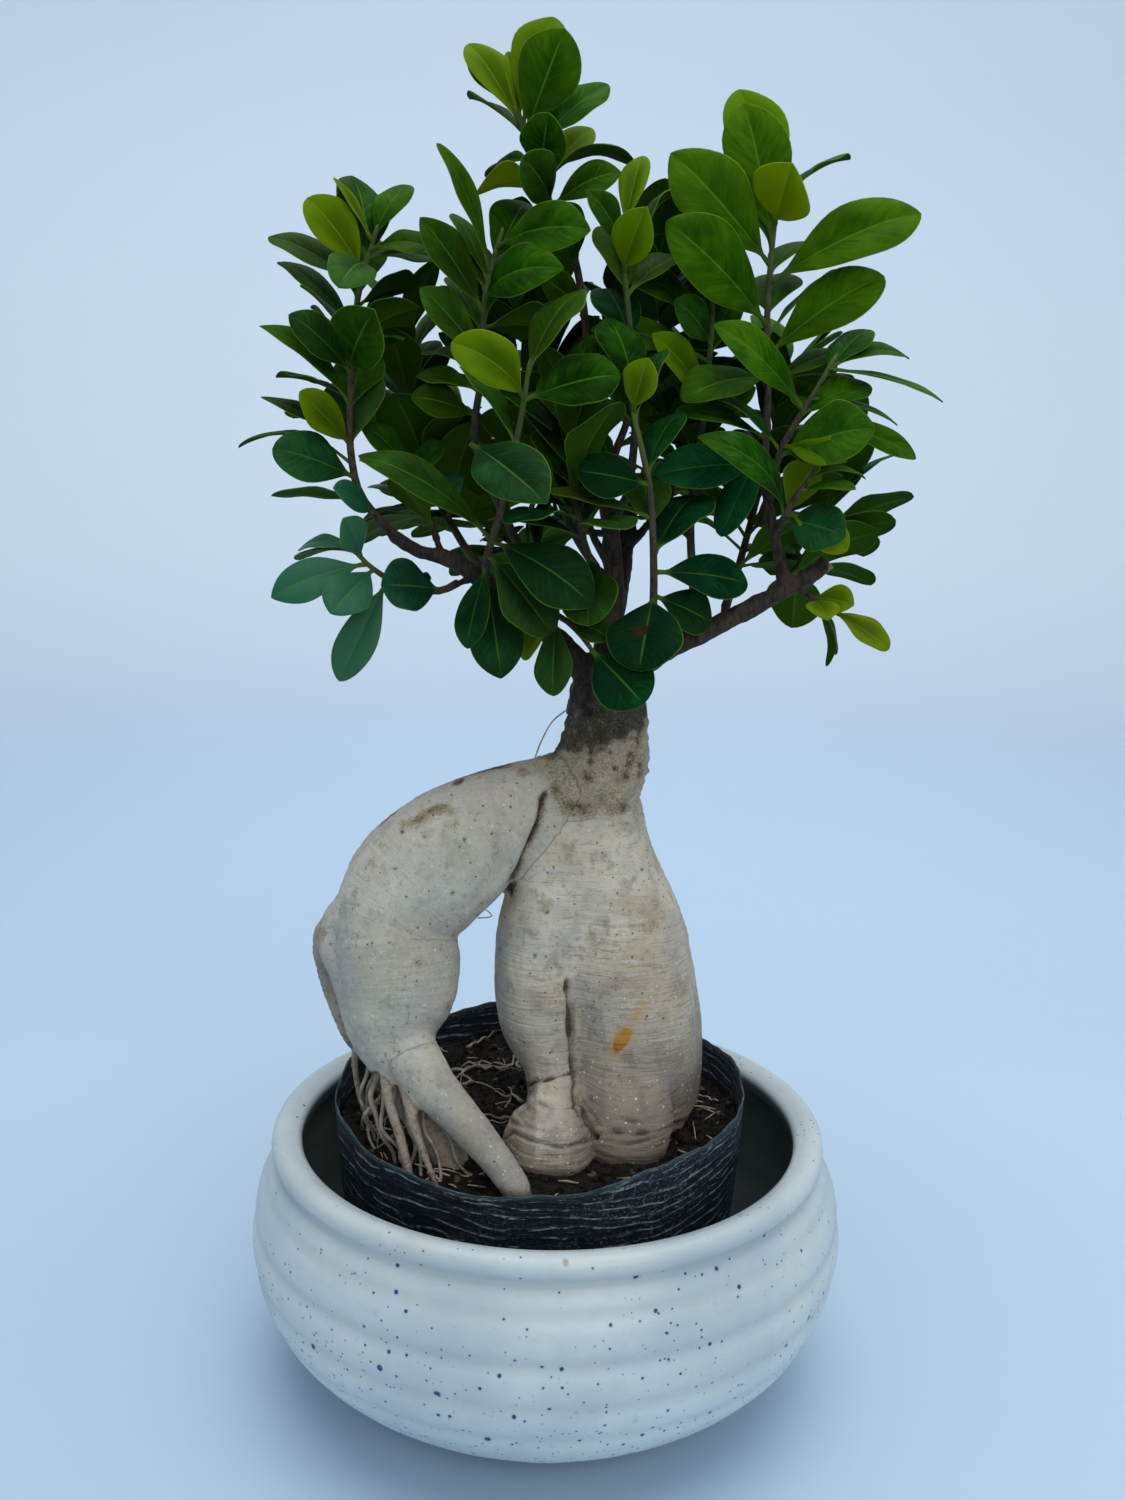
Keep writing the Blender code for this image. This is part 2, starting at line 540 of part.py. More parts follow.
def keep_largest(mesh):
    """Drops every loose bit but the largest connected one."""
    shape = bmesh.new()
    shape.from_mesh(mesh)
    left = set(shape.verts)
    groups = []
    while left:
        front = [left.pop()]
        group = list(front)
        while front:
            vertex = front.pop()
            for edge in vertex.link_edges:
                other = edge.other_vert(vertex)
                if other in left:
                    left.remove(other)
                    group.append(other)
                    front.append(other)
        groups.append(group)
    groups.sort(key=len)
    for group in groups[:-1]:
        bmesh.ops.delete(shape, geom=group, context="VERTS")
    shape.to_mesh(mesh)
    shape.free()


def root_parts(extra):
    """The root's limbs as closed tubes, each swollen by extra."""
    parts = []
    for limb in ROOT_LIMBS:
        stations = [
            (s[0], s[1], s[2], s[3] + extra, s[4] + extra) for s in smooth_path(limb, 9.0)
        ]
        parts.append(tube(stations, 16))
    return parts


def joined(parts):
    verts = []
    faces = []
    for part_verts, part_faces in parts:
        start = len(verts)
        verts.extend(part_verts)
        faces.extend([tuple(start + i for i in face) for face in part_faces])
    return verts, faces


def make_root():
    verts, faces = joined(root_parts(0.0))
    root = new_object("ginseng_root", in_metres(verts), faces)
    grow = root.modifiers.new("grow", "REMESH")
    grow.mode = "VOXEL"
    grow.voxel_size = 1.5 * MM
    soften = root.modifiers.new("soften", "SMOOTH")
    soften.factor = 0.5
    soften.iterations = 12
    applied(root)
    thin = root.modifiers.new("thin", "DECIMATE")
    root.data.calc_loop_triangles()
    thin.ratio = ROOT_TRIANGLES / len(root.data.loop_triangles)
    applied(root)
    keep_largest(root.data)
    cut_flat(root.data, ROOT_TOP)
    return root


def cut_flat(mesh, height):
    """Takes off what is above the height and closes the cut with a flat face."""
    shape = bmesh.new()
    shape.from_mesh(mesh)
    cut = bmesh.ops.bisect_plane(
        shape, geom=shape.verts[:] + shape.edges[:] + shape.faces[:],
        plane_co=(0, 0, height * MM), plane_no=(0, 0, 1), clear_outer=True)
    edges = [e for e in cut["geom_cut"] if isinstance(e, bmesh.types.BMEdge)]
    bmesh.ops.holes_fill(shape, edges=edges, sides=0)
    shape.to_mesh(mesh)
    shape.free()


def nearest_on(points, target):
    """Nearest place on a line of points: segment, share along it and place."""
    best = None
    for i, (a, b) in enumerate(zip(points, points[1:])):
        along = b - a
        share = max(0.0, min(1.0, (target - a).dot(along) / along.length_squared))
        place = a + along * share
        gap = (target - place).length
        if best is None or gap < best[0]:
            best = (gap, i, share, place)
    return best[1:]


def spur_on_wood(target, goal):
    """Foot of a spur nearest to target, its direction to goal, and its length out of the bark."""
    best = None
    for limb in WOOD_LIMBS.values():
        points = [Vector(s[:3]) for s in limb]
        i, share, place = nearest_on(points, target)
        gap = (target - place).length
        if best is None or gap < best[0]:
            best = (gap, limb, i, share, place)
    _, limb, i, share, foot = best
    ahead = (goal - foot).normalized()
    if i == len(limb) - 2 and share > 0.97:
        return foot, ahead, SPUR + 2.0
    radius = limb[i][3] + (limb[i + 1][3] - limb[i][3]) * share
    slope = ahead.cross((Vector(limb[i + 1][:3]) - Vector(limb[i][:3])).normalized()).length
    return foot, ahead, (radius + 2.0) / max(slope, 0.4) + SPUR


def stem_lines():
    """For each leafy stem: its spur on the wood and the stem's own stations."""
    paths = {name: stem["path"] for name, stem in STEMS.items()}
    paths.update({name: shoot[0] for name, shoot in SHOOTS.items()})
    out = {}
    for name, path in paths.items():
        points = [seen_at(*p) for p in path]
        onward = points[1:]
        foot, ahead, reach = spur_on_wood(points[0], onward[0])
        while (onward[0] - foot).length < reach + 4.0:
            onward = onward[1:]
            foot, ahead, reach = spur_on_wood(points[0], onward[0])
        spur_end = foot + ahead * reach
        start = foot + ahead * (reach + CLEAR)
        length = sum((b - a).length for a, b in zip(points, points[1:]))
        thick = 1.7 + length / 190.0
        line = smooth_path([start] + onward, 26.0)
        stations = []
        for k, place in enumerate(line):
            stations.append((*place, thick + (1.1 - thick) * k / (len(line) - 1)))
        bud = Vector(stations[-1][:3])
        way = (bud - Vector(stations[-2][:3])).normalized()
        stations.append((*(bud + way * 9.0), 0.5))
        out[name] = {"spur": ((*foot, thick), (*spur_end, thick)), "stations": stations}
    return out


def wood_parts(lines, extra):
    parts = []
    for name, limb in WOOD_LIMBS.items():
        sides = 10 if name == "trunk" else 6
        stations = [(*s[:3], s[3] + extra) for s in smooth_path(limb, 21.0)]
        parts.append(round_tube(stations, sides))
    for line in lines.values():
        parts.append(round_tube([(*s[:3], s[3] + extra) for s in line["spur"]], STEM_SIDES))
    return parts


def fused(name, parts):
    """One solid from closed parts: the first takes a union with all the others."""
    base = new_object(name, in_metres(parts[0][0]), parts[0][1])
    group = bpy.data.collections.new(name + "_parts")
    for verts, faces in parts[1:]:
        item = new_object(name + "_bit", in_metres(verts), faces)
        bpy.context.scene.collection.objects.unlink(item)
        group.objects.link(item)
    join = base.modifiers.new("join", "BOOLEAN")
    join.operation = "UNION"
    join.solver = "EXACT"
    join.operand_type = "COLLECTION"
    join.collection = group
    applied(base)
    for item in list(group.objects):
        bpy.data.objects.remove(item)
    bpy.data.collections.remove(group)
    return base


def leaf_frame(root, tip, normal):
    along = (tip - root).normalized()
    normal = (normal - along * along.dot(normal)).normalized()
    return along, normal, along.cross(normal)


def leaf_solid(root, tip, width, normal, bow, kind, thick):
    """Blade from root to tip: bowed along its length, folded up along its midrib."""
    along, up, across = leaf_frame(root, tip, normal)
    length = (tip - root).length
    fold = LEAF_KINDS[kind][0]
    sides = (1, 0, -1) if fold else (1, -1)
    shape = SHORT_LEAF_SHAPE if length < SHORT_LEAF else LEAF_SHAPE
    rows = [[root]]
    for place, share in shape:
        middle = root + along * length * place + up * bow * length * 4 * place * (1 - place)
        half = 0.5 * width * share
        rows.append([middle + across * s * half + up * abs(s) * fold * half for s in sides])
    rows.append([tip])
    verts = [p + up * side * thick for side in (0.5, -0.5) for row in rows for p in row]
    count = len(verts) // 2
    upper = []
    for row in rows:
        start = upper[-1][-1] + 1 if upper else 0
        upper.append([start + i for i in range(len(row))])
    faces = blade_faces(upper)
    faces += [tuple(count + i for i in reversed(face)) for face in faces]
    rim = [row[0] for row in upper] + [row[-1] for row in reversed(upper[1:-1])]
    for i, here in enumerate(rim):
        after = rim[(i + 1) % len(rim)]
        faces.append((after, here, count + here))
        faces.append((after, count + here, count + after))
    return verts, faces


def blade_faces(rows):
    """Triangles of one side of the blade: root, rows across it, tip."""
    root = rows[0][0]
    tip = rows[-1][0]
    faces = [(root, a, b) for a, b in zip(rows[1], rows[1][1:])]
    for low, high in zip(rows[1:-2], rows[2:-1]):
        for k in range(len(low) - 1):
            faces.append((low[k], high[k], high[k + 1]))
            faces.append((low[k], high[k + 1], low[k + 1]))
    faces += [(a, tip, b) for a, b in zip(rows[-2], rows[-2][1:])]
    return faces


def seen_normal(root, tip, face):
    """Upper side's direction: 90 degrees turns it to the viewpoint, 0 upward and edge-on."""
    along = (tip - root).normalized()
    view = VIEW - (root + tip) * 0.5
    facing = (view - along * along.dot(view)).normalized()
    upward = along.cross(facing)
    if upward.z < 0.0:
        upward = -upward
    angle = math.radians(face)
    return facing * math.sin(angle) + upward * math.cos(angle)


def bounds_of(verts):
    low = [min(v[k] for v in verts) for k in range(3)]
    high = [max(v[k] for v in verts) for k in range(3)]
    return low, high


class Room:
    """Solids placed so far, asked whether a new one would touch those of another owner."""

    def __init__(self):
        self.solids = []

    def add(self, owner, part):
        self.solids.append((owner, bounds_of(part[0]), BVHTree.FromPolygons(*part)))

    def is_free(self, owner, part):
        low, high = bounds_of(part[0])
        tree = BVHTree.FromPolygons(*part)
        for other, (other_low, other_high), other_tree in self.solids:
            if other == owner:
                continue
            apart = any(low[k] > other_high[k] or high[k] < other_low[k] for k in range(3))
            if not apart and tree.overlap(other_tree):
                return False
        return True


def placed_leaf(room, owner, choices, width, bow, kind):
    """The first choice of root, tip and normal that is clear of every other stem."""
    for root, tip, normal in choices:
        test = leaf_solid(root, tip, width + 0.8, normal, bow, kind, KEEP_CLEAR)
        if room.is_free(owner, test):
            leaf = leaf_solid(root, tip, width, normal, bow, kind, LEAF_KINDS[kind][1])
            room.add(owner, test)
            return leaf
    return None


def seen_leaf_choices(points, row):
    root = nearest_seen(points, row[0], row[1])
    for shift, turn in NUDGES:
        tip = seen_at(row[2], row[3], root.y + row[4] + shift)
        yield root, tip, seen_normal(root, tip, row[6] + turn)


def nearest_seen(points, x, z):
    """The place on the stem that is seen nearest to x, z."""
    flat = []
    for p in points:
        share = -VIEW.y / (p.y - VIEW.y)
        flat.append(Vector((VIEW.x + (p.x - VIEW.x) * share, 0.0, VIEW.z + (p.z - VIEW.z) * share)))
    i, share, _ = nearest_on(flat, Vector((x, 0.0, z)))
    return points[i].lerp(points[i + 1], share)


def shoot_leaves(points, count, draw):
    """Leaves by rule round a shoot: a golden-angle spiral, opening out towards its foot."""
    lengths = [0.0]
    for a, b in zip(points, points[1:]):
        lengths.append(lengths[-1] + (b - a).length)
    start = draw.uniform(0.0, TURN)
    for k in range(count):
        share = 0.24 + 0.76 * k / (count - 1)
        goal = share * lengths[-1]
        i = max(j for j in range(len(points) - 1) if lengths[j] <= goal)
        part = (goal - lengths[i]) / (lengths[i + 1] - lengths[i])
        root = points[i].lerp(points[i + 1], min(part, 1.0))
        way = (points[i + 1] - points[i]).normalized()
        side = way.cross(Vector((0.3, 1.0, 0.2))).normalized()
        other = way.cross(side)
        angle = start + math.radians(137.5) * k
        open_out = math.radians(78.0 - 46.0 * share + draw.uniform(-8.0, 8.0))
        length = draw.uniform(46.0, 57.0) * (1.0 - 0.2 * share * share)
        yield root, way, side, other, angle, open_out, length, draw.uniform(0.48, 0.56)


def shoot_choices(root, way, side, other, angle, open_out, length):
    for k, (shift, turn) in enumerate(NUDGES):
        spin = angle + math.radians(turn * 1.5)
        lean = open_out + math.radians(shift * 0.8)
        out = side * math.cos(spin) + other * math.sin(spin)
        tip = root + (way * math.cos(lean) + out * math.sin(lean)) * length * (1.0 - 0.008 * k)
        yield root, tip, Vector((0.0, 0.0, 1.0)) + way * 0.5 - out * 0.35


def make_stems(lines):
    room = Room()
    for part in root_parts(1.0):
        room.add("root", part)
    for part in wood_parts(lines, 0.6):
        room.add("wood", part)
    stems = {}
    for name, line in lines.items():
        stems[name] = [round_tube(line["stations"], STEM_SIDES)]
        room.add(name, round_tube([(*s[:3], s[3] + 0.7) for s in line["stations"]], STEM_SIDES))
    for name, stem in STEMS.items():
        points = [Vector(s[:3]) for s in lines[name]["stations"][:-1]]
        for row in stem["leaves"]:
            leaf = placed_leaf(room, name, seen_leaf_choices(points, row), row[5], row[7], row[8])
            if leaf:
                stems[name].append(leaf)
    draw = random.Random(SHOOT_SEED)
    for name, (_, count) in SHOOTS.items():
        points = [Vector(s[:3]) for s in lines[name]["stations"][:-1]]
        for *frame, ratio in shoot_leaves(points, count, draw):
            leaf = placed_leaf(room, name, shoot_choices(*frame), frame[6] * ratio, 0.08, "plain")
            if leaf:
                stems[name].append(leaf)
    for name, parts in stems.items():
        fused("leafy_stem_" + name, parts)
    return stems


def outward(item):
    """Turns every face of a closed mesh to look outward and splits it into triangles."""
    shape = bmesh.new()
    shape.from_mesh(item.data)
    bmesh.ops.recalc_face_normals(shape, faces=shape.faces)
    if shape.calc_volume(signed=True) < 0.0:
        bmesh.ops.reverse_faces(shape, faces=shape.faces)
    bmesh.ops.triangulate(shape, faces=shape.faces)
    shape.to_mesh(item.data)
    shape.free()


def main():
    for item in list(bpy.data.objects):
        bpy.data.objects.remove(item)
    lines = stem_lines()
    make_bowl()
    make_bag()
    root = make_root()
    make_soil(root)
    fused("scion_wood", wood_parts(lines, 0.0))
    make_stems(lines)
    for item in bpy.data.objects:
        outward(item)


main()
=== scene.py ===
"""Looks of the ginseng ficus in its speckled stoneware bowl.

Lengths are in millimetres and become metres when a mesh is made. The origin is the middle of the
bowl's underside, +Z is up and -Y is the front. The plant's tables and the rules that place its
leaves are those of its solids, so every finer piece lands where its plain solid stands.
"""

import itertools
import math
import random

import bmesh
import bpy
import numpy as np
from mathutils import Matrix, Vector
from mathutils.bvhtree import BVHTree


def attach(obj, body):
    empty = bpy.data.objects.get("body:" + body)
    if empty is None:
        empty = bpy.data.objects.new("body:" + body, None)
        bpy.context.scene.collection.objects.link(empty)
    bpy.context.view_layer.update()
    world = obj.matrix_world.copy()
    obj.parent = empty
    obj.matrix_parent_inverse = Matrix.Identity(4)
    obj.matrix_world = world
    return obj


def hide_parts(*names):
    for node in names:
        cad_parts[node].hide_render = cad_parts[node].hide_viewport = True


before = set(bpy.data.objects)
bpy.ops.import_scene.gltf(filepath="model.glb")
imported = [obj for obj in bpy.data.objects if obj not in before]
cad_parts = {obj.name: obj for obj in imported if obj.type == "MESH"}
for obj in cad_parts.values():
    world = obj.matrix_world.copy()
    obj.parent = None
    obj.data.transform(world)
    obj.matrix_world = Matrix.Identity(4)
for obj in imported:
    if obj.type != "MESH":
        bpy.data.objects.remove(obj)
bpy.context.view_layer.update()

MM = 0.001
TURN = math.tau
# Viewpoint of the photograph, and the gap between a spur of the wood and its leafy stem
VIEW = Vector((3.0, -545.5, 367.8))
CLEAR = 0.3

# Camera, with its angles in degrees, and light
CAMERA_LENS = 30.0
CAMERA_PITCH = 9.0
CAMERA_ROLL = 1.2
CAMERA_SENSOR = 36.0
CAMERA_NEAR = 0.01
WORLD_LIGHT = 0.45
WORLD_COLOUR = (0.80, 0.89, 1.0, 1.0)
# Name, place, target, size, watts and colour
LIGHTS = (
    ("overhead", (0.15, 0.10, 2.2), (0.0, 0.0, 0.28), 2.6, 46.5, (0.95, 0.98, 1.0)),
    ("front", (0.55, -1.7, 1.1), (0.0, 0.0, 0.22), 1.3, 10.0, (1.0, 0.98, 0.94)),
    ("wall_wash", (0.0, 1.3, 2.35), (0.0, 4.3, 1.2), 2.0, 27.0, (0.95, 0.98, 1.0)),
)
# The floor: its profile as reach and height, and how far it lies under the bowl, all in metres
FLOOR_SIDES = 96
FLOOR_GAP = 0.0004
SWEEP = ((2.2, 0.0), (2.8, 0.06), (3.4, 0.30), (3.9, 0.75), (4.2, 1.4), (4.3, 2.45))

# Fineness of the looks, and seeds of what is scattered
BOWL_FINE = 200
BAG_FINE = 240
SOIL_FINE = 220
SOIL_RINGS = 75
LIMB_STEP = 9.0
LIMB_SIDES = 16
ROOT_VOXEL = 1.15
ROOT_SOFTEN = 22
WOOD_VOXEL = 0.9
WOOD_SOFTEN = 5
TWIG_SIDES = 9
CRUMBS = 1500
ROOT_PITS = 70
CRUMB_SEED = 71
THREAD_SEED = 83
PIT_SEED = 19
LEAF_SEED = 29

# Relief as layers of noise: height, size of the lumps and seed
BOWL_UNEVEN = ((0.45, 55.0, 3), (0.18, 17.0, 4))
BOWL_LIFT = ((0.35, 70.0, 5),)
BAG_RAGGED = ((0.7, 7.0, 21), (0.35, 2.6, 22))
BAG_FOLDS = ((0.55, 16.0, 23), (0.25, 6.0, 24))
SOIL_ROUGH = ((1.2, 15.0, 31), (0.9, 5.0, 32), (0.55, 2.1, 33))
ROOT_RELIEF = ((0.55, 24.0, 41), (0.25, 9.0, 42))
CROWN_RELIEF = ((1.2, 6.5, 47), (0.9, 2.6, 48))
WOOD_RELIEF = ((0.55, 7.0, 61), (0.35, 2.6, 62))

# Height, depth and half width of the throwing grooves, and the heights between which the body is
# uneven; the reach at which its noise is read
BOWL_REACH = 135.0
BOWL_UNEVEN_SPAN = (2.0, 104.0)
BOWL_GROOVES = ((101.8, 1.2, 2.0), (91.5, 1.1, 2.6), (74.0, 1.3, 3.0), (57.0, 1.3, 3.0), (41.5, 1.1, 3.0))
# Speckles as cells per metre, radius in metres, share of cells and colour; a brown mark on the rim
SPECKLES = (
    (95.0, 0.0013, 0.56, (0.008, 0.030, 0.130)),
    (175.0, 0.00078, 0.80, (0.012, 0.036, 0.145)),
    (340.0, 0.00046, 0.95, (0.040, 0.070, 0.165)),
)
RIM_MARK = (0.008, -0.122, 0.110)

# Film thickness, reach of the bag at the soil, and height where its free upper part begins
BAG_FILM = 0.45
BAG_REACH = 90.0
BAG_LEVEL = 100.0
# Reach of the soil at the top, then reach and height of its hidden sides
SOIL_REACH = 91.2
SOIL_SIDES = ((88.6, 70.0), (74.2, 10.2))

# Limbs that fill seams of the skin: between the two lobes above their crease, behind the strap root
# and beside the arm
ROOT_FILLS = (
    ((10, 2, 264, 9, 17), (9, 0, 245, 11, 21), (9, 0, 225, 11, 22.8), (9.5, 0, 205, 10, 22.5),
     (10, 1, 190, 6, 18)),
    ((-96, -11, 204, 4, 5), (-96, -7, 192, 4, 6), (-92.5, -2, 173, 4, 6), (-87, 3, 156, 4, 5),
     (-80, 8, 140, 4, 4)),
    ((-94, -22, 201, 9.5, 8), (-91, -24, 193, 9, 9), (-87, -25, 186, 9, 10), (-83, -26, 174, 9.5, 11),
     (-80, -28, 164, 9.5, 11), (-76, -31, 156, 9, 10), (-70, -34, 148, 8, 8)),
)
# Height above which the skin stays close to the neck, and middle of the warm patch as seen
ROOT_NECK = 296.0
OCHRE_AT = (44.0, 175.0)
# Numbers of limbs: the strap root, which the thin roots follow; the last one whose bark lines lie
# level; the knob, which takes the lines of its neighbours
THIN_LIMBS = 9
LEVEL_LIMBS = 5
KNOB_LIMB = 7
# Edge where the arm overlaps the body as seen, with its depth and reach on the body's side
ARM_EDGE = ((-2.6, 266.0), (-5.3, 258.4), (-6.4, 249.6), (-9.0, 242.6), (-12.0, 234.4), (-15.4, 226.5),
            (-19.8, 218.5), (-24.5, 210.5))
ARM_EDGE_DEPTH = 3.4
ARM_EDGE_REACH = 5.0
# Where the skin is evened out: beside the arm's edge, over the foot of the right lobe and along the
# seam above the lobes; seen middle, half width and half height
ARM_EVEN_ROUNDS = 500
EVEN_ROUNDS = 200
EVEN_SPOTS = ((44.0, 132.0, 36.0, 23.0), (6.0, 216.0, 10.0, 38.0))

# Folds of the bark as seen (x, z), with depth, half width and the strength of the painted shade along the
# fold
ROOT_FOLDS = (
    (((6.0, 192.0), (6.9, 185.0), (7.2, 176.0)), 0.8, 1.6, 0.1),
    (((7.2, 175.0), (8.3, 159.6), (9.2, 145.0), (10.7, 128.5)), 2.5, 1.0, 0.9),
    (((-12.9, 122.1), (-6.5, 126.1), (1.3, 128.2), (10.5, 130.4)), 1.6, 0.8, 1.0),
    (((-20.9, 97.3), (-16.7, 101.3), (-8.3, 97.1), (5.7, 93.9), (18.7, 97.7), (25.0, 102.3)), 1.1, 0.75, 0.6),
    (((-14.0, 110.0), (-6.3, 117.3), (1.6, 113.6), (10.9, 113.8), (19.1, 117.9)), 1.0, 0.7, 0.5),
    (((-19.0, 106.4), (-11.4, 104.2), (-1.4, 101.2), (12.5, 103.0), (22.1, 107.1)), 0.8, 0.7, 0.4),
    (((-10.0, 113.0), (0.0, 107.4), (9.0, 107.6), (20.0, 112.5)), 0.7, 0.6, 0.4),
    (((22.4, 99.5), (30.4, 102.5), (38.5, 101.4), (48.6, 102.4), (58.5, 106.3), (68.5, 110.3)),
     1.6, 0.8, 0.8),
    (((24.5, 107.5), (33.0, 109.0), (42.0, 107.0), (52.0, 107.5), (61.0, 111.0)), 0.8, 0.6, 0.4),
    (((24.2, 98.3), (34.5, 95.6), (46.5, 98.8), (55.6, 103.9)), 1.1, 0.8, 0.6),
    (((28.0, 101.5), (38.5, 99.6), (50.5, 102.8), (60.6, 108.9)), 0.8, 0.6, 0.4),
    (((26.0, 111.5), (40.0, 107.6), (55.0, 110.8), (64.0, 117.0)), 0.6, 0.6, 0.35),
    (((11.0, 131.8), (11.4, 122.3), (13.6, 113.9), (17.2, 106.5), (22.4, 99.5)), 1.6, 1.0, 0.9),
    (((13.0, 121.0), (18.0, 112.5), (24.0, 106.0)), 0.7, 0.6, 0.5),
)
# Dark spots of the crown, the neck and the bark as seen: x, z, size and depth
ROOT_DOTS = (
    (15.3, 276.3, 2.2, 1.6), (26.4, 273.8, 1.6, 1.2), (37.4, 275.4, 1.5, 1.0), (0.1, 284.9, 2.4, 1.2),
    (19.4, 288.4, 3.2, 1.4), (29.0, 288.5, 3.4, 1.8), (24.5, 280.5, 1.2, 0.9), (-2.2, 207.5, 1.0, 0.5),
    (-7.6, 186.5, 1.2, 0.7), (19.8, 188.0, 0.9, 0.5),
    (-35.5, 249.0, 0.8, 0.4), (-40.0, 240.0, 1.1, 0.5), (-27.8, 243.0, 0.8, 0.4), (-68.0, 243.0, 1.2, 0.6),
    (-58.0, 241.0, 1.0, 0.5), (-71.0, 226.0, 1.0, 0.5), (-45.0, 215.0, 1.2, 0.6), (-66.0, 213.0, 0.8, 0.4),
    (4.0, 254.0, 0.7, 0.4), (8.5, 253.0, 0.8, 0.4), (13.5, 253.4, 0.6, 0.4), (40.0, 228.0, 0.9, 0.4),
)
# The amber wound and its paler run: seen place, spread along and across, and strength
WOUNDS = ((32.6, 146.5, 10.5, 4.6, 1.12), (38.5, 159.0, 12.0, 5.0, 0.58))
WOUND_LEAN = math.radians(62.0)

# Loose things on the soil: place, spread and count, with the length of the rootlets
CURL_BEDS = (
    (-45, 76, 12, 5, 34), (-15, 46, 10, 4, 36), (-39, 33, 10, 4, 36), (-51, 52, 10, 4, 36),
    (-20, 6, 8, 3, 28), (-31, -11, 8, 3, 28), (-60, 0, 9, 3, 28), (78, 27, 6, 2, 20), (0, 70, 20, 4, 32),
)
STRAW_BEDS = (
    (-86, -18, 6, 9), (-74, -36, 8, 14), (-72, -48, 7, 10), (-78, -8, 8, 9), (-35, -66, 7, 9),
    (-47, -66, 7, 12), (-20, -60, 10, 8), (20, -78, 9, 6), (70, -40, 8, 10), (80, 4, 6, 9), (76, -24, 6, 9),
    (0, 60, 30, 16),
)
# Rootlets from under the arm: paths of x, y, z with the radius at the top
ARM_ROOTLETS = (
    ((-68, -36, 152), (-74, -38, 143), (-75, -42, 131), (-69, -46, 120), (-64, -50, 110), 1.5),
    ((-66, -38, 151), (-70, -42, 139), (-70, -48, 127), (-62, -53, 117), (-58, -56, 109), 1.2),
    ((-64, -38, 150), (-66, -44, 137), (-62, -50, 124), (-60, -56, 114), (-55, -60, 109), 1.3),
    ((-70, -30, 156), (-79, -31, 144), (-81, -33, 130), (-77, -37, 118), (-74, -40, 109), 1.0),
    ((-60, -42, 147), (-60, -50, 135), (-55, -56, 124), (-52, -60, 115), (-50, -64, 109), 1.2),
    ((-58, -42, 146), (-53, -51, 134), (-48, -58, 123), (-43, -63, 115), (-44, -66, 109), 1.0),
    ((-66, -30, 150), (-70, -36, 138), (-78, -38, 127), (-76, -34, 115), (-72, -30, 108), 1.1),
    ((-52, -40, 140), (-45, -51, 130), (-38, -59, 120), (-32, -63, 112), (-26, -64, 109), 0.9),
    ((-60, -36, 142), (-62, -44, 130), (-55, -50, 120), (-58, -56, 112), (-55, -60, 108), 1.2),
    ((-72, -26, 148), (-78, -24, 136), (-81, -26, 122), (-82, -22, 112), (-82, -18, 108), 0.9),
)
# Hair roots on the bark: x, z as seen and depth, and radius
HAIR_ROOTS = (
    (((4.2, 299.2, -17), (-1.9, 293.8, -18), (-6.6, 284.8, -20), (-9.1, 277.6, -22)), 0.35),
    (((-32.7, 209.9, -36), (-27.2, 204.9, -36), (-33.6, 203.8, -37)), 0.3),
)

# Fine blades: length of the stalk, rows along and places across
STALK = 0.10
LEAF_ALONG = np.array((0.0, 0.05, 0.10, 0.14, 0.18, 0.23, 0.29, 0.36, 0.43, 0.50, 0.57, 0.64, 0.71, 0.77,
                       0.83, 0.88, 0.925, 0.96, 0.985, 1.0))
LEAF_ACROSS = np.array((-1.0, -0.94, -0.78, -0.52, -0.26, -0.07, 0.0, 0.07, 0.26, 0.52, 0.78, 0.94, 1.0))
BITTEN = (("front_centre", 0),)

# Leaves beyond those of the solids: how many to try on each stem, by rule; the share of each that
# counts as stalk, and how far its spiral is turned against the first one
MORE_STALK = 0.22
MORE_TURN = math.radians(68.0)
MORE_LEAVES = {
    "back_centre": 12, "back_right": 12, "back_left": 11, "inner_right": 14, "inner_left": 14,
    "side_right": 12, "side_left": 12, "far_back": 8, "far_left": 8, "far_right": 8, "inner_front": 14,
    "top_tip": 4, "top_middle": 14, "centre_left": 12, "front_left": 6, "left_inner": 12, "left_top": 18,
    "left_low": 4, "front_centre": 8, "right_centre": 14, "right_upper": 10, "right_middle": 6,
    "right_low": 4,
}
MORE_SEED = 977
# A side twig with its leaf, and more leaves of the front, in the rows' own order
SIDE_TWIGS = {"centre_left": ((-37.0, 413.0, 4), (-38.5, 412.0, -22), (-37.5, 411.5, -48))}
MORE_ROWS = (
    ("centre_left", (-37.5, 411.5, -6.0, 388.5, -60, 23, 70, 0.07, "mature")),
    ("front_left", (-32.0, 358.5, -24.4, 312.5, -14, 23, 75, 0.06, "old")),
)
# How slim each limb's bark is against its solid
WOOD_SLIM = {"trunk": 1.0, "right": 0.70, "centre": 0.8, "left": 0.85, "back": 0.85, "shoot": 0.75}
TWIG_SLIM = 0.85
# Start of the grafted bark inside the root: place and radius
GRAFT_FOOT = (20.0, 2.0, 292.0, 15.5)

# Bowl
BOWL_OUTER = (
    (0.0, 0.0), (81.0, 0.0), (91.5, 5.0), (105.0, 15.0), (118.6, 27.0),
    (128.8, 42.0), (133.6, 60.0), (132.8, 77.0), (129.0, 91.0), (123.6, 100.6), (125.0, 106.6),
    (123.5, 110.8), (119.5, 112.4),
)
BOWL_INNER = (
    (112.2, 109.0), (113.2, 102.0), (121.0, 89.0), (125.2, 70.0), (120.4, 46.0),
    (106.0, 25.0), (92.0, 12.8), (84.0, 8.6), (0.0, 8.5),
)

# Grow bag and soil
BAG_AT = Vector((-4.0, 5.0, 0.0))
BAG_OUTER = ((75.5, 8.8), (83.0, 30.0), (90.0, 70.0), (93.0, 109.0))
BAG_RIM = 128.0
BAG_DIP = 11.0
BAG_DIP_AT = math.radians(-115.0)
SOIL_TOP = 112.0

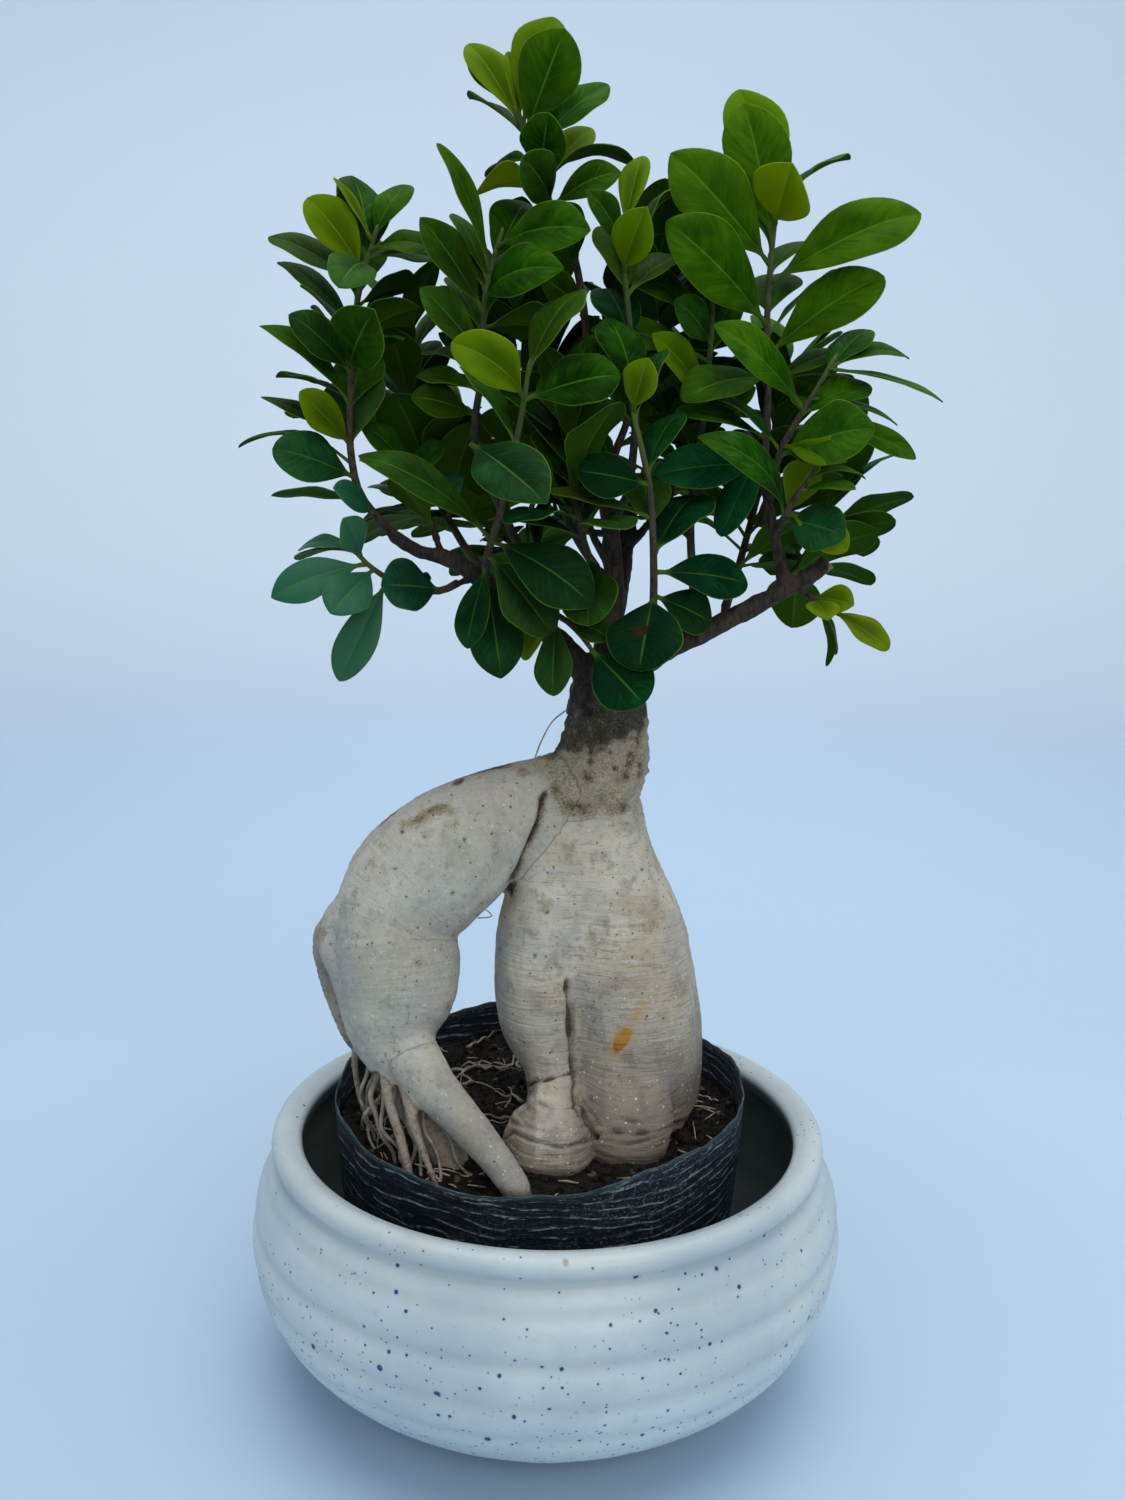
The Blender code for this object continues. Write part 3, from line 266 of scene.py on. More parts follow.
# Root limbs: middle line x, y, z with the half widths across and fore-and-aft
ROOT_LIMBS = (
    ((22, 2, 306, 17, 16), (22, 2, 290, 19, 18), (20, 2, 276, 21, 20), (18, 2, 262, 20, 20),
     (19, 3, 248, 22, 23), (21, 4, 232, 25, 27), (25, 5, 212, 30, 31), (30, 5, 190, 33, 34),
     (34, 5, 167, 32, 36), (37, 4, 145, 31, 36), (39, 2, 128, 29, 33), (41, 0, 115, 26, 29),
     (41, 0, 103, 20, 22)),
    ((10, 2, 255, 14, 16), (3, 1, 238, 15, 18), (-2, 0, 218, 19, 23), (-5, -1, 195, 20.5, 26),
     (-5, -3, 170, 20, 27), (-3, -6, 153, 18, 23), (1, -11, 140, 13, 17), (3, -16, 130, 12.5, 16),
     (4, -24, 118, 15, 17), (3, -28, 104, 12, 14)),
    ((31, 8, 262, 5, 7), (34, 12, 240, 8, 9), (49.5, 15, 200, 10, 11), (59, 17, 165, 10.5, 11),
     (62, 14, 135, 10, 11), (59, 9, 104, 10, 10)),
    ((3, -24, 136, 7, 8), (2, -34, 129, 13, 12), (1, -41, 120, 17.5, 17), (1, -43, 112, 18, 19),
     (1, -42, 103, 15, 14)),
    ((2, -30, 126, 8, 8), (-9, -36, 122, 9, 9), (-14, -38, 116, 6, 7), (-15, -38, 104, 4, 6)),
    ((32, -12, 152, 14, 10), (34, -23, 134, 19, 12), (35, -33, 123, 20, 13), (35, -39, 114, 17, 14),
     (35, -38, 104, 13, 11)),
    ((18, 0, 268, 16, 16), (-5, -2, 262, 17, 17), (-20, -5, 253, 23, 22), (-36, -9, 243, 28, 26),
     (-51, -13, 232, 30, 28), (-63, -17, 219, 30, 28), (-68, -20, 205, 27, 26),
     (-66, -24, 190, 27, 26), (-65, -28, 177, 25, 24), (-65, -32, 166, 21, 20),
     (-63, -36, 157, 15, 15), (-57, -42, 150, 11, 11)),
    ((-80, -19, 215, 14, 12), (-93, -20, 206, 9, 8), (-101, -20, 199, 5, 5)),
    ((-62, -38, 158, 13, 13), (-48, -50, 145, 10, 10), (-33, -62, 134, 8, 8),
     (-20, -72, 124, 7, 7), (-12, -77, 115, 6, 6), (-9, -78, 104, 5.5, 5.5)),
    ((-99, -18, 203, 5, 4.5), (-102.5, -8, 190, 5, 4), (-99, 0, 168, 5, 4), (-91.5, 4, 145, 5, 4),
     (-80, 12, 125, 5, 4), (-76, 15, 104, 5, 4)),
    ((-66, -25, 150, 10, 10), (-63, -30, 138, 9, 9), (-55, -38, 128, 8.5, 8.5),
     (-42, -50, 116, 8, 8), (-36, -55, 104, 7, 7)),
    ((-70, -32, 156, 4, 4), (-68, -48, 142, 2.8, 2.8), (-60, -59, 124, 2.4, 2.4),
     (-54, -66, 104, 2.2, 2.2)),
    ((-62, -42, 150, 4, 4), (-56, -58, 134, 2.6, 2.6), (-48, -67, 118, 2.3, 2.3),
     (-42, -70, 104, 2.2, 2.2)),
    ((-78, -24, 165, 4, 4), (-86, -22, 146, 2.6, 2.6), (-84, -16, 124, 2.4, 2.4),
     (-80, -12, 104, 2.2, 2.2)),
)

# Grafted wood: middle line x, y, z and radius, thick end first
WOOD_LIMBS = {
    "trunk": ((20, 2, 300.3, 15.5), (20, 2, 306, 15), (21.5, 2, 317, 12), (23, 3, 326, 7)),
    "right": ((24, 0, 311, 9), (45, -4, 326, 7.5), (66, -6, 337, 6.5), (90, -6, 350, 5.5),
              (105, -5, 358, 5.5), (115, -5, 366, 5)),
    "centre": ((20, 2, 312, 9), (24, 5, 345, 6), (22, 8, 375, 5), (18, 8, 404, 4)),
    "left": ((16, 2, 312, 8), (-5, 0, 334, 6), (-28, -2, 351, 5), (-45, -2, 363, 4.4),
             (-61, -2, 367, 3.8), (-71, -2, 373, 3.4)),
    "back": ((20, 6, 312, 8), (25, 30, 342, 6.5), (30, 48, 368, 5.2), (33, 62, 392, 4.4)),
    "shoot": ((98, -5, 353, 5), (94, -3, 368, 3.8), (90, 0, 384, 3.3), (87, 2, 398, 2.8)),
}
SPUR = 4.0
STEM_SIDES = 4

# Leaf shape: place along the blade and share of the half width there
LEAF_SHAPE = ((0.26, 0.76), (0.58, 1.06), (0.87, 0.74))
SHORT_LEAF_SHAPE = ((0.34, 0.96), (0.77, 1.0))
SHORT_LEAF = 56.0
# Upward fold of each kind; a plain blade, flat in the solids, is folded a little in the look
LEAF_FOLDS = {"young": 0.30, "mature": 0.20, "old": 0.12, "plain": 0.0}
PLAIN_FOLD = 0.10
PLAIN_BOW = 0.08
LEAF_YOUTH = {"young": 0.85, "mature": 0.05, "old": 0.0, "plain": 0.02}
LEAF_HUES = {"young": 0.30, "mature": 0.30, "old": 0.75, "plain": 0.45}
GOLDEN_ANGLE = math.radians(137.5)
KEEP_CLEAR = 2.0
# Shifts and turns that are tried in turn until a leaf is clear of the others
NUDGES = (
    (0, 0), (8, 0), (-8, 0), (0, 14), (0, -14), (15, 0), (-15, 0), (8, 20), (-8, -20), (8, -20),
    (-8, 20), (22, 10), (-22, -10), (22, -20), (-22, 20), (30, 0), (-30, 0), (0, 30), (0, -30),
    (15, 35), (-15, -35), (15, -35), (-15, 35), (38, 15), (-38, -15), (38, -25), (-38, 25),
)

# Leafy stems that the front shows: path points are x, z as seen and depth.
# Leaf rows: root x, z as seen, tip x, z as seen, reach of the tip past the root, width,
# face angle (90 shows the upper side, 0 the edge), bow and kind.
STEMS = {
    "top_tip": {
        "path": ((18, 404, 8), (12, 432, 6), (9, 462, 4), (4, 488, 2), (-2.5, 502, 0),
                 (-9, 515, -2), (-14.5, 529, -4), (-20, 541.5, -5)),
        "leaves": (
            (-19.5, 540, -41, 571, 8, 17, 55, 0.06, "young"),
            (-17, 536, -2, 577, -8, 25, 80, 0.05, "mature"),
            (-18, 539, -7, 581.5, 12, 22, 75, 0.05, "young"),
            (-14, 531, 16, 556.5, 10, 17, 50, 0.05, "mature"),
            (-11, 519, -8.5, 544.5, -22, 19, 70, 0.08, "mature"),
            (-7, 510, -18.5, 527.6, -28, 19, 60, 0.08, "mature"),
            (-15, 526, -33, 520.5, 24, 13, 15, 0.1, "mature"),
            (-18, 537, -40, 551, 22, 18, 8, 0.03, "mature"),
            (-10, 518, 9.7, 539.5, 20, 14, 60, 0.05, "young"),
            (-19, 541, -24, 568, 10, 10, 60, 0.03, "young"),
            (-10, 517, 28.7, 526, 8, 20, -12, 0.2, "mature"),
            (-7, 508, 22, 523, -10, 18, 45, 0.1, "mature"),
            (-9, 513, -39, 512, -14, 20, -30, 0.18, "young"),
            (5, 486, -6, 509, -24, 20, 60, 0.08, "mature"),
            (8.5, 467, -10, 481, -14, 14, 60, 0.06, "mature"),
        ),
    },
    "top_middle": {
        "path": ((22, 376, 8), (29, 395, -4), (31, 420, -12), (30, 440, -16), (27, 465, -18),
                 (24, 488, -18), (24, 500, -18)),
        "leaves": (
            (24, 499, 30.7, 530, 18, 12, 65, 0.05, "young"),
            (23, 492, 8.6, 515.5, -12, 14, 45, 0.08, "mature"),
            (25, 484, 33, 509, -26, 17, 70, 0.1, "young"),
            (26, 474, 50, 490, 26, 20, 30, 0.08, "mature"),
            (29, 450, 8, 447, -6, 20, 40, 0.08, "mature"),
        ),
    },
    "centre_left": {
        "path": ((-8, 337, 0), (-14, 362, 8), (-29, 393, 8), (-37, 413, 4), (-36, 430, 0),
                 (-33, 447, -8), (-34, 466, -12), (-31, 484, -14), (-28, 494, -15)),
        "leaves": (
            (-33, 447, -60, 476, -12, 16, 55, 0.05, "mature"),
            (-34, 466, -60.5, 503.5, -10, 19, 50, 0.04, "mature"),
            (-31.5, 482, -52.3, 533, -4, 13, 28, 0.04, "mature"),
            (-33, 478, -46.6, 505.7, 22, 14, 40, 0.05, "mature"),
            (-30.5, 486, -17, 511, 16, 21, 70, 0.08, "mature"),
            (-28, 492, 9.5, 500.5, -20, 22, 55, 0.13, "mature"),
            (-33.5, 469, -1, 484.7, -28, 22, 45, 0.19, "mature"),
            (-33.5, 460, -4, 460, 8, 24, -35, 0.08, "mature"),
            (-33.5, 456, -49, 480, 20, 14, 35, 0.05, "mature"),
            (-35, 437, -4, 420.5, -30, 12, 25, 0.05, "mature"),
            (-36, 424, -64, 431.5, -14, 17, 50, 0.08, "mature"),
            (-35.5, 434, -62, 440, -2, 15, 30, 0.1, "mature"),
            (-34, 442, -58, 449, 20, 18, 20, 0.1, "mature"),
            (-37, 413, -6, 392, -40, 23, 60, 0.06, "old"),
        ),
    },
    "front_left": {
        "path": ((-32, 354, -4), (-31, 366, -24), (-25, 387, -36), (-20, 410, -42),
                 (-16.5, 430, -46), (-15, 441, -47)),
        "leaves": (
            (-16, 431, -47, 454, -16, 21, 60, 0.22, "young"),
            (-16, 431, 24, 442.5, -4, 25, 50, 0.06, "mature"),
            (-30, 372, 15, 345.4, -16, 26, 62, 0.08, "old"),
            (-31, 366, -3, 332.5, 4, 24, 65, 0.06, "old"),
            (-32, 362, -40, 325.5, -8, 15, 60, 0.05, "old"),
            (-30, 372, -86.4, 407, -10, 18, 45, 0.13, "mature"),
        ),
    },
    "left_inner": {
        "path": ((-50, 366, -2), (-55, 378, 8), (-60, 389, 14), (-64, 398, 16)),
        "leaves": (
            (-55, 377, -73, 398, -8, 20, -40, 0.06, "mature"),
            (-58, 384, -42, 398, -8, 16, 40, 0.05, "old"),
            (-62, 393, -85, 420, -8, 17, 40, 0.12, "mature"),
            (-64, 397, -50, 412, -12, 14, 40, 0.1, "mature"),
        ),
    },
    "left_top": {
        "path": ((-73, 375, -2), (-81, 383.5, -2), (-87, 393, -2), (-90, 410, -2), (-90, 430, -2),
                 (-89, 447, -3), (-87, 468, -4), (-83, 484, -5), (-80, 494, -6)),
        "leaves": (
            (-84, 481, -107, 510.5, -8, 20, 60, 0.05, "young"),
            (-80, 493, -96, 518.5, -2, 8, 25, 0.02, "young"),
            (-86, 475, -123.5, 495, 6, 19, 35, 0.06, "mature"),
            (-88, 458, -118.5, 485.5, 10, 18, 30, 0.06, "mature"),
            (-89, 451, -110, 475.5, 24, 14, 12, 0.04, "mature"),
            (-89.5, 440, -105, 467.5, 30, 14, 10, 0.04, "mature"),
            (-83, 484, -94, 476, -32, 19, 60, 0.1, "mature"),
            (-81, 490, -56, 491.5, -10, 16, 30, 0.1, "mature"),
            (-82, 487, -51, 486, 16, 14, 30, 0.08, "mature"),
            (-88.5, 453, -60, 468, -8, 24, -35, 0.08, "mature"),
            (-87, 467, -62, 476, 16, 22, -20, 0.08, "mature"),
            (-89, 443, -80, 466, -33, 25, 60, 0.1, "mature"),
            (-90, 427, -127, 460, -6, 16, 28, 0.1, "mature"),
            (-89.5, 440, -115, 464, -16, 17, 60, 0.08, "mature"),
            (-90, 412, -127.7, 430, 8, 14, 25, 0.04, "mature"),
            (-90, 411, -111, 432.5, -20, 15, 65, 0.06, "young"),
            (-89, 402, -137.5, 410, 10, 14, 10, 0.16, "mature"),
            (-88, 397, -123, 409, -15, 23, 62, 0.06, "mature"),
            (-83, 387, -124, 389.5, -14, 16, -14, 0.03, "mature"),
            (-80, 382, -97, 393, -22, 14, 40, 0.06, "old"),
        ),
    },
    "left_low": {
        "path": ((-36, 357, -2), (-52, 350, -16), (-66, 351, -19), (-76, 356, -20),
                 (-83, 361, -20), (-88, 366, -20)),
        "leaves": (
            (-87, 366, -112.5, 367, 8, 13, 28, 0.16, "old"),
            (-83, 361, -125, 346.3, -10, 19, 60, 0.08, "old"),
            (-86, 364, -93, 380, -16, 14, 60, 0.08, "old"),
            (-80, 359, -99, 339.5, -20, 19, 75, 0.05, "old"),
            (-74, 355, -96, 310, -6, 17, 70, 0.05, "old"),
            (-51, 351, -77, 352, -16, 23, 65, 0.05, "old"),
            (-38, 356, -27, 312, 2, 22, 70, 0.06, "old"),
        ),
    },
    "low_centre": {
        "path": ((-5, 335, 0), (-2, 341, -14), (4, 338, -24), (11, 331, -30), (16, 324, -33)),
        "leaves": (
            (-1, 340, -1.7, 305.3, -6, 17, 65, 0.05, "old"),
            (15, 326, 38, 302.5, -14, 27, 70, 0.06, "old"),
            (-2, 341, -16, 322, 10, 13, 50, 0.05, "young"),
            (3, 339, 23, 331, -8, 15, 50, 0.06, "old"),
        ),
    },
    "front_centre": {
        "path": ((40, 325, -4), (41, 340, -16), (41, 355, -26), (40, 375, -30), (38, 395, -32),
                 (34, 412, -34), (30, 426, -35), (29, 434, -35)),
        "leaves": (
            (40, 350, 35.6, 317.7, -22, 31, 75, 0.08, "old"),
            (41, 350, 67, 338.5, 6, 20, 65, 0.06, "old"),
            (41, 360, 82, 356, 12, 20, 60, 0.06, "old"),
            (38, 397, 7, 402, -10, 20, 60, 0.05, "old"),
            (30, 427, 35.5, 449, -12, 14, 75, 0.05, "young"),
            (39.5, 383, -5, 394, -6, 11, 25, 0.03, "mature"),
        ),
    },
    "right_centre": {
        "path": ((60, 335, -4), (58, 355, 10), (56, 380, 14), (57, 405, 14), (60, 425, 10),
                 (61, 445, 6), (62, 462, 4), (62, 472, 4)),
        "leaves": (
            (60, 430, 37, 459, -24, 16, 45, 0.08, "young"),
            (61.5, 455, 46.5, 472.5, -18, 17, 50, 0.08, "mature"),
            (61, 448, 11.5, 461, -12, 17, 40, 0.08, "mature"),
            (62, 462, 17, 489, -10, 19, 45, 0.08, "mature"),
            (62, 470, 55, 492, 16, 18, 50, 0.06, "mature"),
            (57, 408, 36, 424, 14, 17, -30, 0.08, "mature"),
        ),
    },
    "right_upper": {
        "path": ((87, 398, 2), (86.5, 418, 4), (86.5, 440, 6), (85, 460, 8), (85, 480, 9),
                 (86, 500, 9), (87, 511, 9)),
        "leaves": (
            (85.5, 495, 71.4, 551, 2, 27, 80, 0.04, "mature"),
            (86, 503, 69.5, 556, 14, 26, 70, 0.04, "young"),
            (87, 507, 83.4, 533, 20, 12, 60, 0.04, "young"),
            (87, 504, 92, 527, -26, 27, 70, 0.08, "young"),
            (85, 480, 146.5, 510, -10, 28, 55, 0.07, "mature"),
            (85, 487, 42.7, 531, -8, 30, 65, 0.06, "mature"),
            (85, 463, 41.5, 504, -16, 30, 60, 0.07, "mature"),
            (86, 451, 132.7, 484.5, -8, 25, 60, 0.06, "mature"),
            (85.5, 459, 112, 486.5, 22, 16, 8, 0.03, "old"),
            (86.5, 441, 50.5, 432.5, -18, 22, 40, 0.1, "mature"),
            (86.5, 417, 48, 428, -6, 15, 30, 0.08, "mature"),
            (86.5, 438, 123, 454, 6, 18, 25, 0.08, "old"),
            (87, 406, 40, 401.5, -18, 20, 60, 0.08, "old"),
            (86.5, 415, 69, 376, -14, 16, 65, 0.05, "old"),
        ),
    },
    "right_middle": {
        "path": ((89, 390, 1), (89.5, 401, -8), (93, 412, -11), (99, 424, -13), (106, 436, -14),
                 (112, 447, -14)),
        "leaves": (
            (92, 410, 132, 423, -18, 27, 60, 0.08, "mature"),
            (100, 427, 130, 440, 2, 18, 40, 0.08, "mature"),
            (112, 446, 161, 434.5, -2, 14, 8, 0.05, "mature"),
            (105, 434, 142.4, 424.5, 20, 11, 15, 0.05, "old"),
            (98, 422, 151, 410.5, 4, 16, 35, 0.1, "mature"),
            (112, 446, 145.5, 451.8, 14, 13, 30, 0.12, "mature"),
            (110, 443, 127, 463, 14, 18, 40, 0.05, "old"),
            (102, 429, 63.6, 464, -16, 20, 45, 0.08, "mature"),
            (94, 414, 121, 409, -24, 13, 60, 0.06, "young"),
        ),
    },
    "right_low": {
        "path": ((92, 376, -2), (94, 384, -13), (99, 391, -18), (104, 398, -22), (107, 403, -23)),
        "leaves": (
            (95, 386, 109, 408.5, -12, 19, -50, 0.06, "young"),
            (94, 384, 122.4, 377, -10, 21, 72, 0.08, "old"),
            (96, 387, 124, 371, -8, 16, 60, 0.06, "young"),
            (94, 384, 59, 418, -14, 17, 45, 0.18, "mature"),
            (105, 400, 130, 401.5, 4, 11, 15, 0.16, "mature"),
            (102, 396, 126, 397.5, -10, 12, 20, 0.06, "mature"),
        ),
    },
    "limb_end": {
        "path": ((101, 356, -5), (108, 351, -19), (114, 347.5, -22), (119, 345, -22)),
        "leaves": (
            (110, 351, 128, 347.7, -10, 14, 55, 0.06, "young"),
            (112, 350, 117, 341.5, -20, 13, 60, 0.05, "young"),
            (118, 345, 144.5, 329, -4, 13, 50, 0.04, "young"),
            (109, 352, 118, 321, 2, 9, 10, 0.14, "mature"),
            (114, 348, 121.5, 326.5, 12, 10, 8, 0.05, "mature"),
        ),
    },
}

# Leafy stems behind and inside: same path points, then the number of leaves
SHOOTS = {
    "back_centre": (((27, 354, 38), (13, 378, 44), (3, 408, 54), (-5, 438, 60), (-8, 464, 62)), 12),
    "back_right": (((30, 368, 48), (46, 390, 58), (54, 422, 68), (58, 452, 72)), 13),
    "back_left": (((24, 342, 28), (-8, 362, 56), (-34, 382, 76), (-48, 404, 84)), 11),
    "inner_right": (((19, 398, 8), (28, 425, 24), (35, 455, 32), (38, 482, 34)), 13),
    "inner_left": (((24, 350, 5), (6, 376, 24), (-13, 420, 36), (-20, 448, 42), (-23, 474, 44)), 11),
    "side_right": (((70, 339, -4), (77, 362, 28), (84, 392, 46), (90, 418, 54), (92, 440, 58)), 13),
    "side_left": (((-27, 351, -2), (-44, 374, 26), (-58, 400, 42), (-64, 426, 48), (-66, 450, 50)), 11),
    "far_back": (((33, 390, 62), (36, 402, 84), (40, 414, 104), (41, 428, 116)), 10),
    "far_left": (((31, 374, 53), (8, 378, 84), (-8, 390, 106), (-16, 404, 118)), 10),
    "far_right": (((88, 349, -6), (102, 362, 26), (112, 382, 42), (114, 400, 48)), 9),
    "inner_front": (((24, 345, 5), (12, 368, -16), (5, 392, -24), (3, 418, -27)), 7),
}
SHOOT_SEED = 411


def seen_at(x, z, depth):
    """The point at this depth that is seen at x, z against the middle plane."""
    share = (depth - VIEW.y) / -VIEW.y
    return Vector((VIEW.x + (x - VIEW.x) * share, depth, VIEW.z + (z - VIEW.z) * share))


def smooth_path(points, step):
    """Curve through the points, given as tuples that start with x, y, z, sampled every step."""
    values = [np.array(p, dtype=float) for p in points]
    ends = [2 * values[0] - values[1]] + values + [2 * values[-1] - values[-2]]
    out = []
    for a, b, c, d in zip(ends, ends[1:], ends[2:], ends[3:]):
        count = max(1, round(float(np.linalg.norm((c - b)[:3])) / step))
        for k in range(count):
            t = k / count
            out.append(0.5 * (
                2 * b + (c - a) * t + (2 * a - 5 * b + 4 * c - d) * t * t
                + (3 * b - a - 3 * c + d) * t ** 3
            ))
    out.append(values[-1])
    return out


def wall_faces(rows, sides, start=0, flip=False):
    """Quads between neighbouring rings of points, the first of them at start."""
    faces = []
    for low in range(start, start + (rows - 1) * sides, sides):
        for k in range(sides):
            j = (k + 1) % sides
            quad = (low + k, low + j, low + sides + j, low + sides + k)
            faces.append((quad[0], *quad[:0:-1]) if flip else quad)
    return faces


def cap_faces(centre, start, sides, flip=False):
    """Triangles between a middle point and the ring at start."""
    faces = []
    for k in range(sides):
        j = (k + 1) % sides
        faces.append((centre, start + j, start + k) if flip else (centre, start + k, start + j))
    return faces


def closed_wall(rows, sides):
    """Faces of rings that are closed by two middle points, which follow the last ring."""
    under = rows * sides
    return (wall_faces(rows, sides) + cap_faces(under, 0, sides, flip=True)
            + cap_faces(under + 1, under - sides, sides))


def round_angles(count):
    """Even angles for the points of a ring."""
    return np.arange(count) * TURN / count


def ring(angles, reach, height, middle=(0.0, 0.0)):
    """Points of a ring round a middle; reach and height may differ from angle to angle."""
    x = middle[0] + reach * np.cos(angles)
    y = middle[1] + reach * np.sin(angles)
    return np.stack([x, y, height + 0.0 * angles], 1)


def tube(stations, sides):
    """Closed tube along stations of x, y, z and two half widths."""
    places = [Vector(s[:3]) for s in stations]
    first = (places[1] - places[0]).normalized()
    aft = Vector((1.0, 0.0, 0.0)) if abs(first.y) > 0.7 else Vector((0.0, 1.0, 0.0))
    verts = []
    for i, place in enumerate(places):
        along = (places[min(i + 1, len(places) - 1)] - places[max(i - 1, 0)]).normalized()
        aft = (aft - along * along.dot(aft)).normalized()
        across = along.cross(aft)
        for k in range(sides):
            angle = TURN * k / sides
            verts.append(place + across * (stations[i][3] * math.cos(angle))
                         + aft * (stations[i][4] * math.sin(angle)))
    caps = [tuple(range(sides)), tuple(reversed(range(len(verts) - sides, len(verts))))]
    return verts, caps + wall_faces(len(places), sides, flip=True)


def round_tube(stations, sides):
    return tube([(*s[:3], s[3], s[3]) for s in stations], sides)


def bag_edge(angle):
    """Height of the bag's rim, lowest at the front left."""
    near = 0.5 + 0.5 * math.cos(angle - BAG_DIP_AT)
    return BAG_RIM - BAG_DIP * near ** 3 + 0.9 * math.sin(5 * angle) + 0.6 * math.sin(11 * angle)


def bag_wave(angle):
    """How far the bag's rim leans out."""
    return 0.9 + 0.5 * math.sin(3 * angle + 1.0) + 0.4 * math.sin(8 * angle)


def joined(parts):
    """Points and faces of several parts as one."""
    verts = []
    faces = []
    for part_verts, part_faces in parts:
        start = len(verts)
        verts.extend(part_verts)
        faces.extend([tuple(start + i for i in face) for face in part_faces])
    return verts, faces


def keep_largest(mesh):
    """Drops every loose bit but the largest connected one."""
    shape = bmesh.new()
    shape.from_mesh(mesh)
    left = set(shape.verts)
    groups = []
    while left:
        front = [left.pop()]
        group = list(front)
        while front:
            vertex = front.pop()
            for edge in vertex.link_edges:
                other = edge.other_vert(vertex)
                if other in left:
                    left.remove(other)
                    group.append(other)
                    front.append(other)
        groups.append(group)
    groups.sort(key=len)
    for group in groups[:-1]:
        bmesh.ops.delete(shape, geom=group, context="VERTS")
    shape.to_mesh(mesh)
    shape.free()


def root_parts(extra):
    """The root's limbs as closed tubes, each swollen by extra."""
    parts = []
    for limb in ROOT_LIMBS:
        stations = [(*s[:3], s[3] + extra, s[4] + extra) for s in smooth_path(limb, LIMB_STEP)]
        parts.append(tube(stations, LIMB_SIDES))
    return parts


def nearest_on(points, target):
    """Nearest place on a line of points: segment, share along it and place."""
    best = None
    for i, (a, b) in enumerate(zip(points, points[1:])):
        along = b - a
        share = max(0.0, min(1.0, (target - a).dot(along) / along.length_squared))
        place = a + along * share
        gap = (target - place).length
        if best is None or gap < best[0]:
            best = (gap, i, share, place)
    return best[1:]


def spur_on_wood(target, goal):
    """Foot of a spur nearest to target, its direction to goal, and its length out of the bark."""
    best = None
    for limb in WOOD_LIMBS.values():
        points = [Vector(s[:3]) for s in limb]
        i, share, place = nearest_on(points, target)
        gap = (target - place).length
        if best is None or gap < best[0]:
            best = (gap, limb, i, share, place)
    _, limb, i, share, foot = best
    ahead = (goal - foot).normalized()
    if i == len(limb) - 2 and share > 0.97:
        return foot, ahead, SPUR + 2.0
    radius = limb[i][3] + (limb[i + 1][3] - limb[i][3]) * share
    slope = ahead.cross((Vector(limb[i + 1][:3]) - Vector(limb[i][:3])).normalized()).length
    return foot, ahead, (radius + 2.0) / max(slope, 0.4) + SPUR


def stem_lines():
    """For each leafy stem: its spur on the wood and the stem's own stations."""
    paths = {name: stem["path"] for name, stem in STEMS.items()}
    paths.update({name: shoot[0] for name, shoot in SHOOTS.items()})
    out = {}
    for name, path in paths.items():
        points = [seen_at(*p) for p in path]
        onward = points[1:]
        foot, ahead, reach = spur_on_wood(points[0], onward[0])
        while (onward[0] - foot).length < reach + 4.0:
            onward = onward[1:]
            foot, ahead, reach = spur_on_wood(points[0], onward[0])
        spur_end = foot + ahead * reach
        start = foot + ahead * (reach + CLEAR)
        length = sum((b - a).length for a, b in zip(points, points[1:]))
        thick = 1.7 + length / 190.0
        line = smooth_path([start] + onward, 26.0)
        stations = []
        for k, place in enumerate(line):
            stations.append((*place, thick + (1.1 - thick) * k / (len(line) - 1)))
        bud = Vector(stations[-1][:3])
        way = (bud - Vector(stations[-2][:3])).normalized()
        stations.append((*(bud + way * 9.0), 0.5))
        out[name] = {"spur": ((*foot, thick), (*spur_end, thick)), "stations": stations}
    return out


def stem_points(line):
    """The stem's own places, without the end of its bud."""
    return [Vector(s[:3]) for s in line["stations"][:-1]]


def wood_parts(lines, extra):
    """The wood's limbs and spurs as closed tubes, each swollen by extra."""
    parts = []
    for name, limb in WOOD_LIMBS.items():
        sides = 10 if name == "trunk" else 6
        stations = [(*s[:3], s[3] + extra) for s in smooth_path(limb, 21.0)]
        parts.append(round_tube(stations, sides))
    for line in lines.values():
        parts.append(round_tube([(*s[:3], s[3] + extra) for s in line["spur"]], STEM_SIDES))
    return parts


def leaf_frame(root, tip, normal):
    """Directions along a leaf, out of its upper side and across it."""
    along = (tip - root).normalized()
    normal = (normal - along * along.dot(normal)).normalized()
    return along, normal, along.cross(normal)


def leaf_solid(root, tip, width, normal, bow, kind, thick):
    """Blade from root to tip: bowed along its length, folded up along its midrib."""
    along, up, across = leaf_frame(root, tip, normal)
    length = (tip - root).length
    fold = LEAF_FOLDS[kind]
    sides = (1, 0, -1) if fold else (1, -1)
    shape = SHORT_LEAF_SHAPE if length < SHORT_LEAF else LEAF_SHAPE
    rows = [[root]]
    for place, share in shape:
        middle = root + along * length * place + up * bow * length * 4 * place * (1 - place)
        half = 0.5 * width * share
        rows.append([middle + across * s * half + up * abs(s) * fold * half for s in sides])
    rows.append([tip])
    verts = [p + up * side * thick for side in (0.5, -0.5) for row in rows for p in row]
    count = len(verts) // 2
    upper = []
    for row in rows:
        start = upper[-1][-1] + 1 if upper else 0
        upper.append([start + i for i in range(len(row))])
    faces = blade_faces(upper)
    faces += [tuple(count + i for i in reversed(face)) for face in faces]
    rim = [row[0] for row in upper] + [row[-1] for row in reversed(upper[1:-1])]
    for i, here in enumerate(rim):
        after = rim[(i + 1) % len(rim)]
        faces.append((after, here, count + here))
        faces.append((after, count + here, count + after))
    return verts, faces


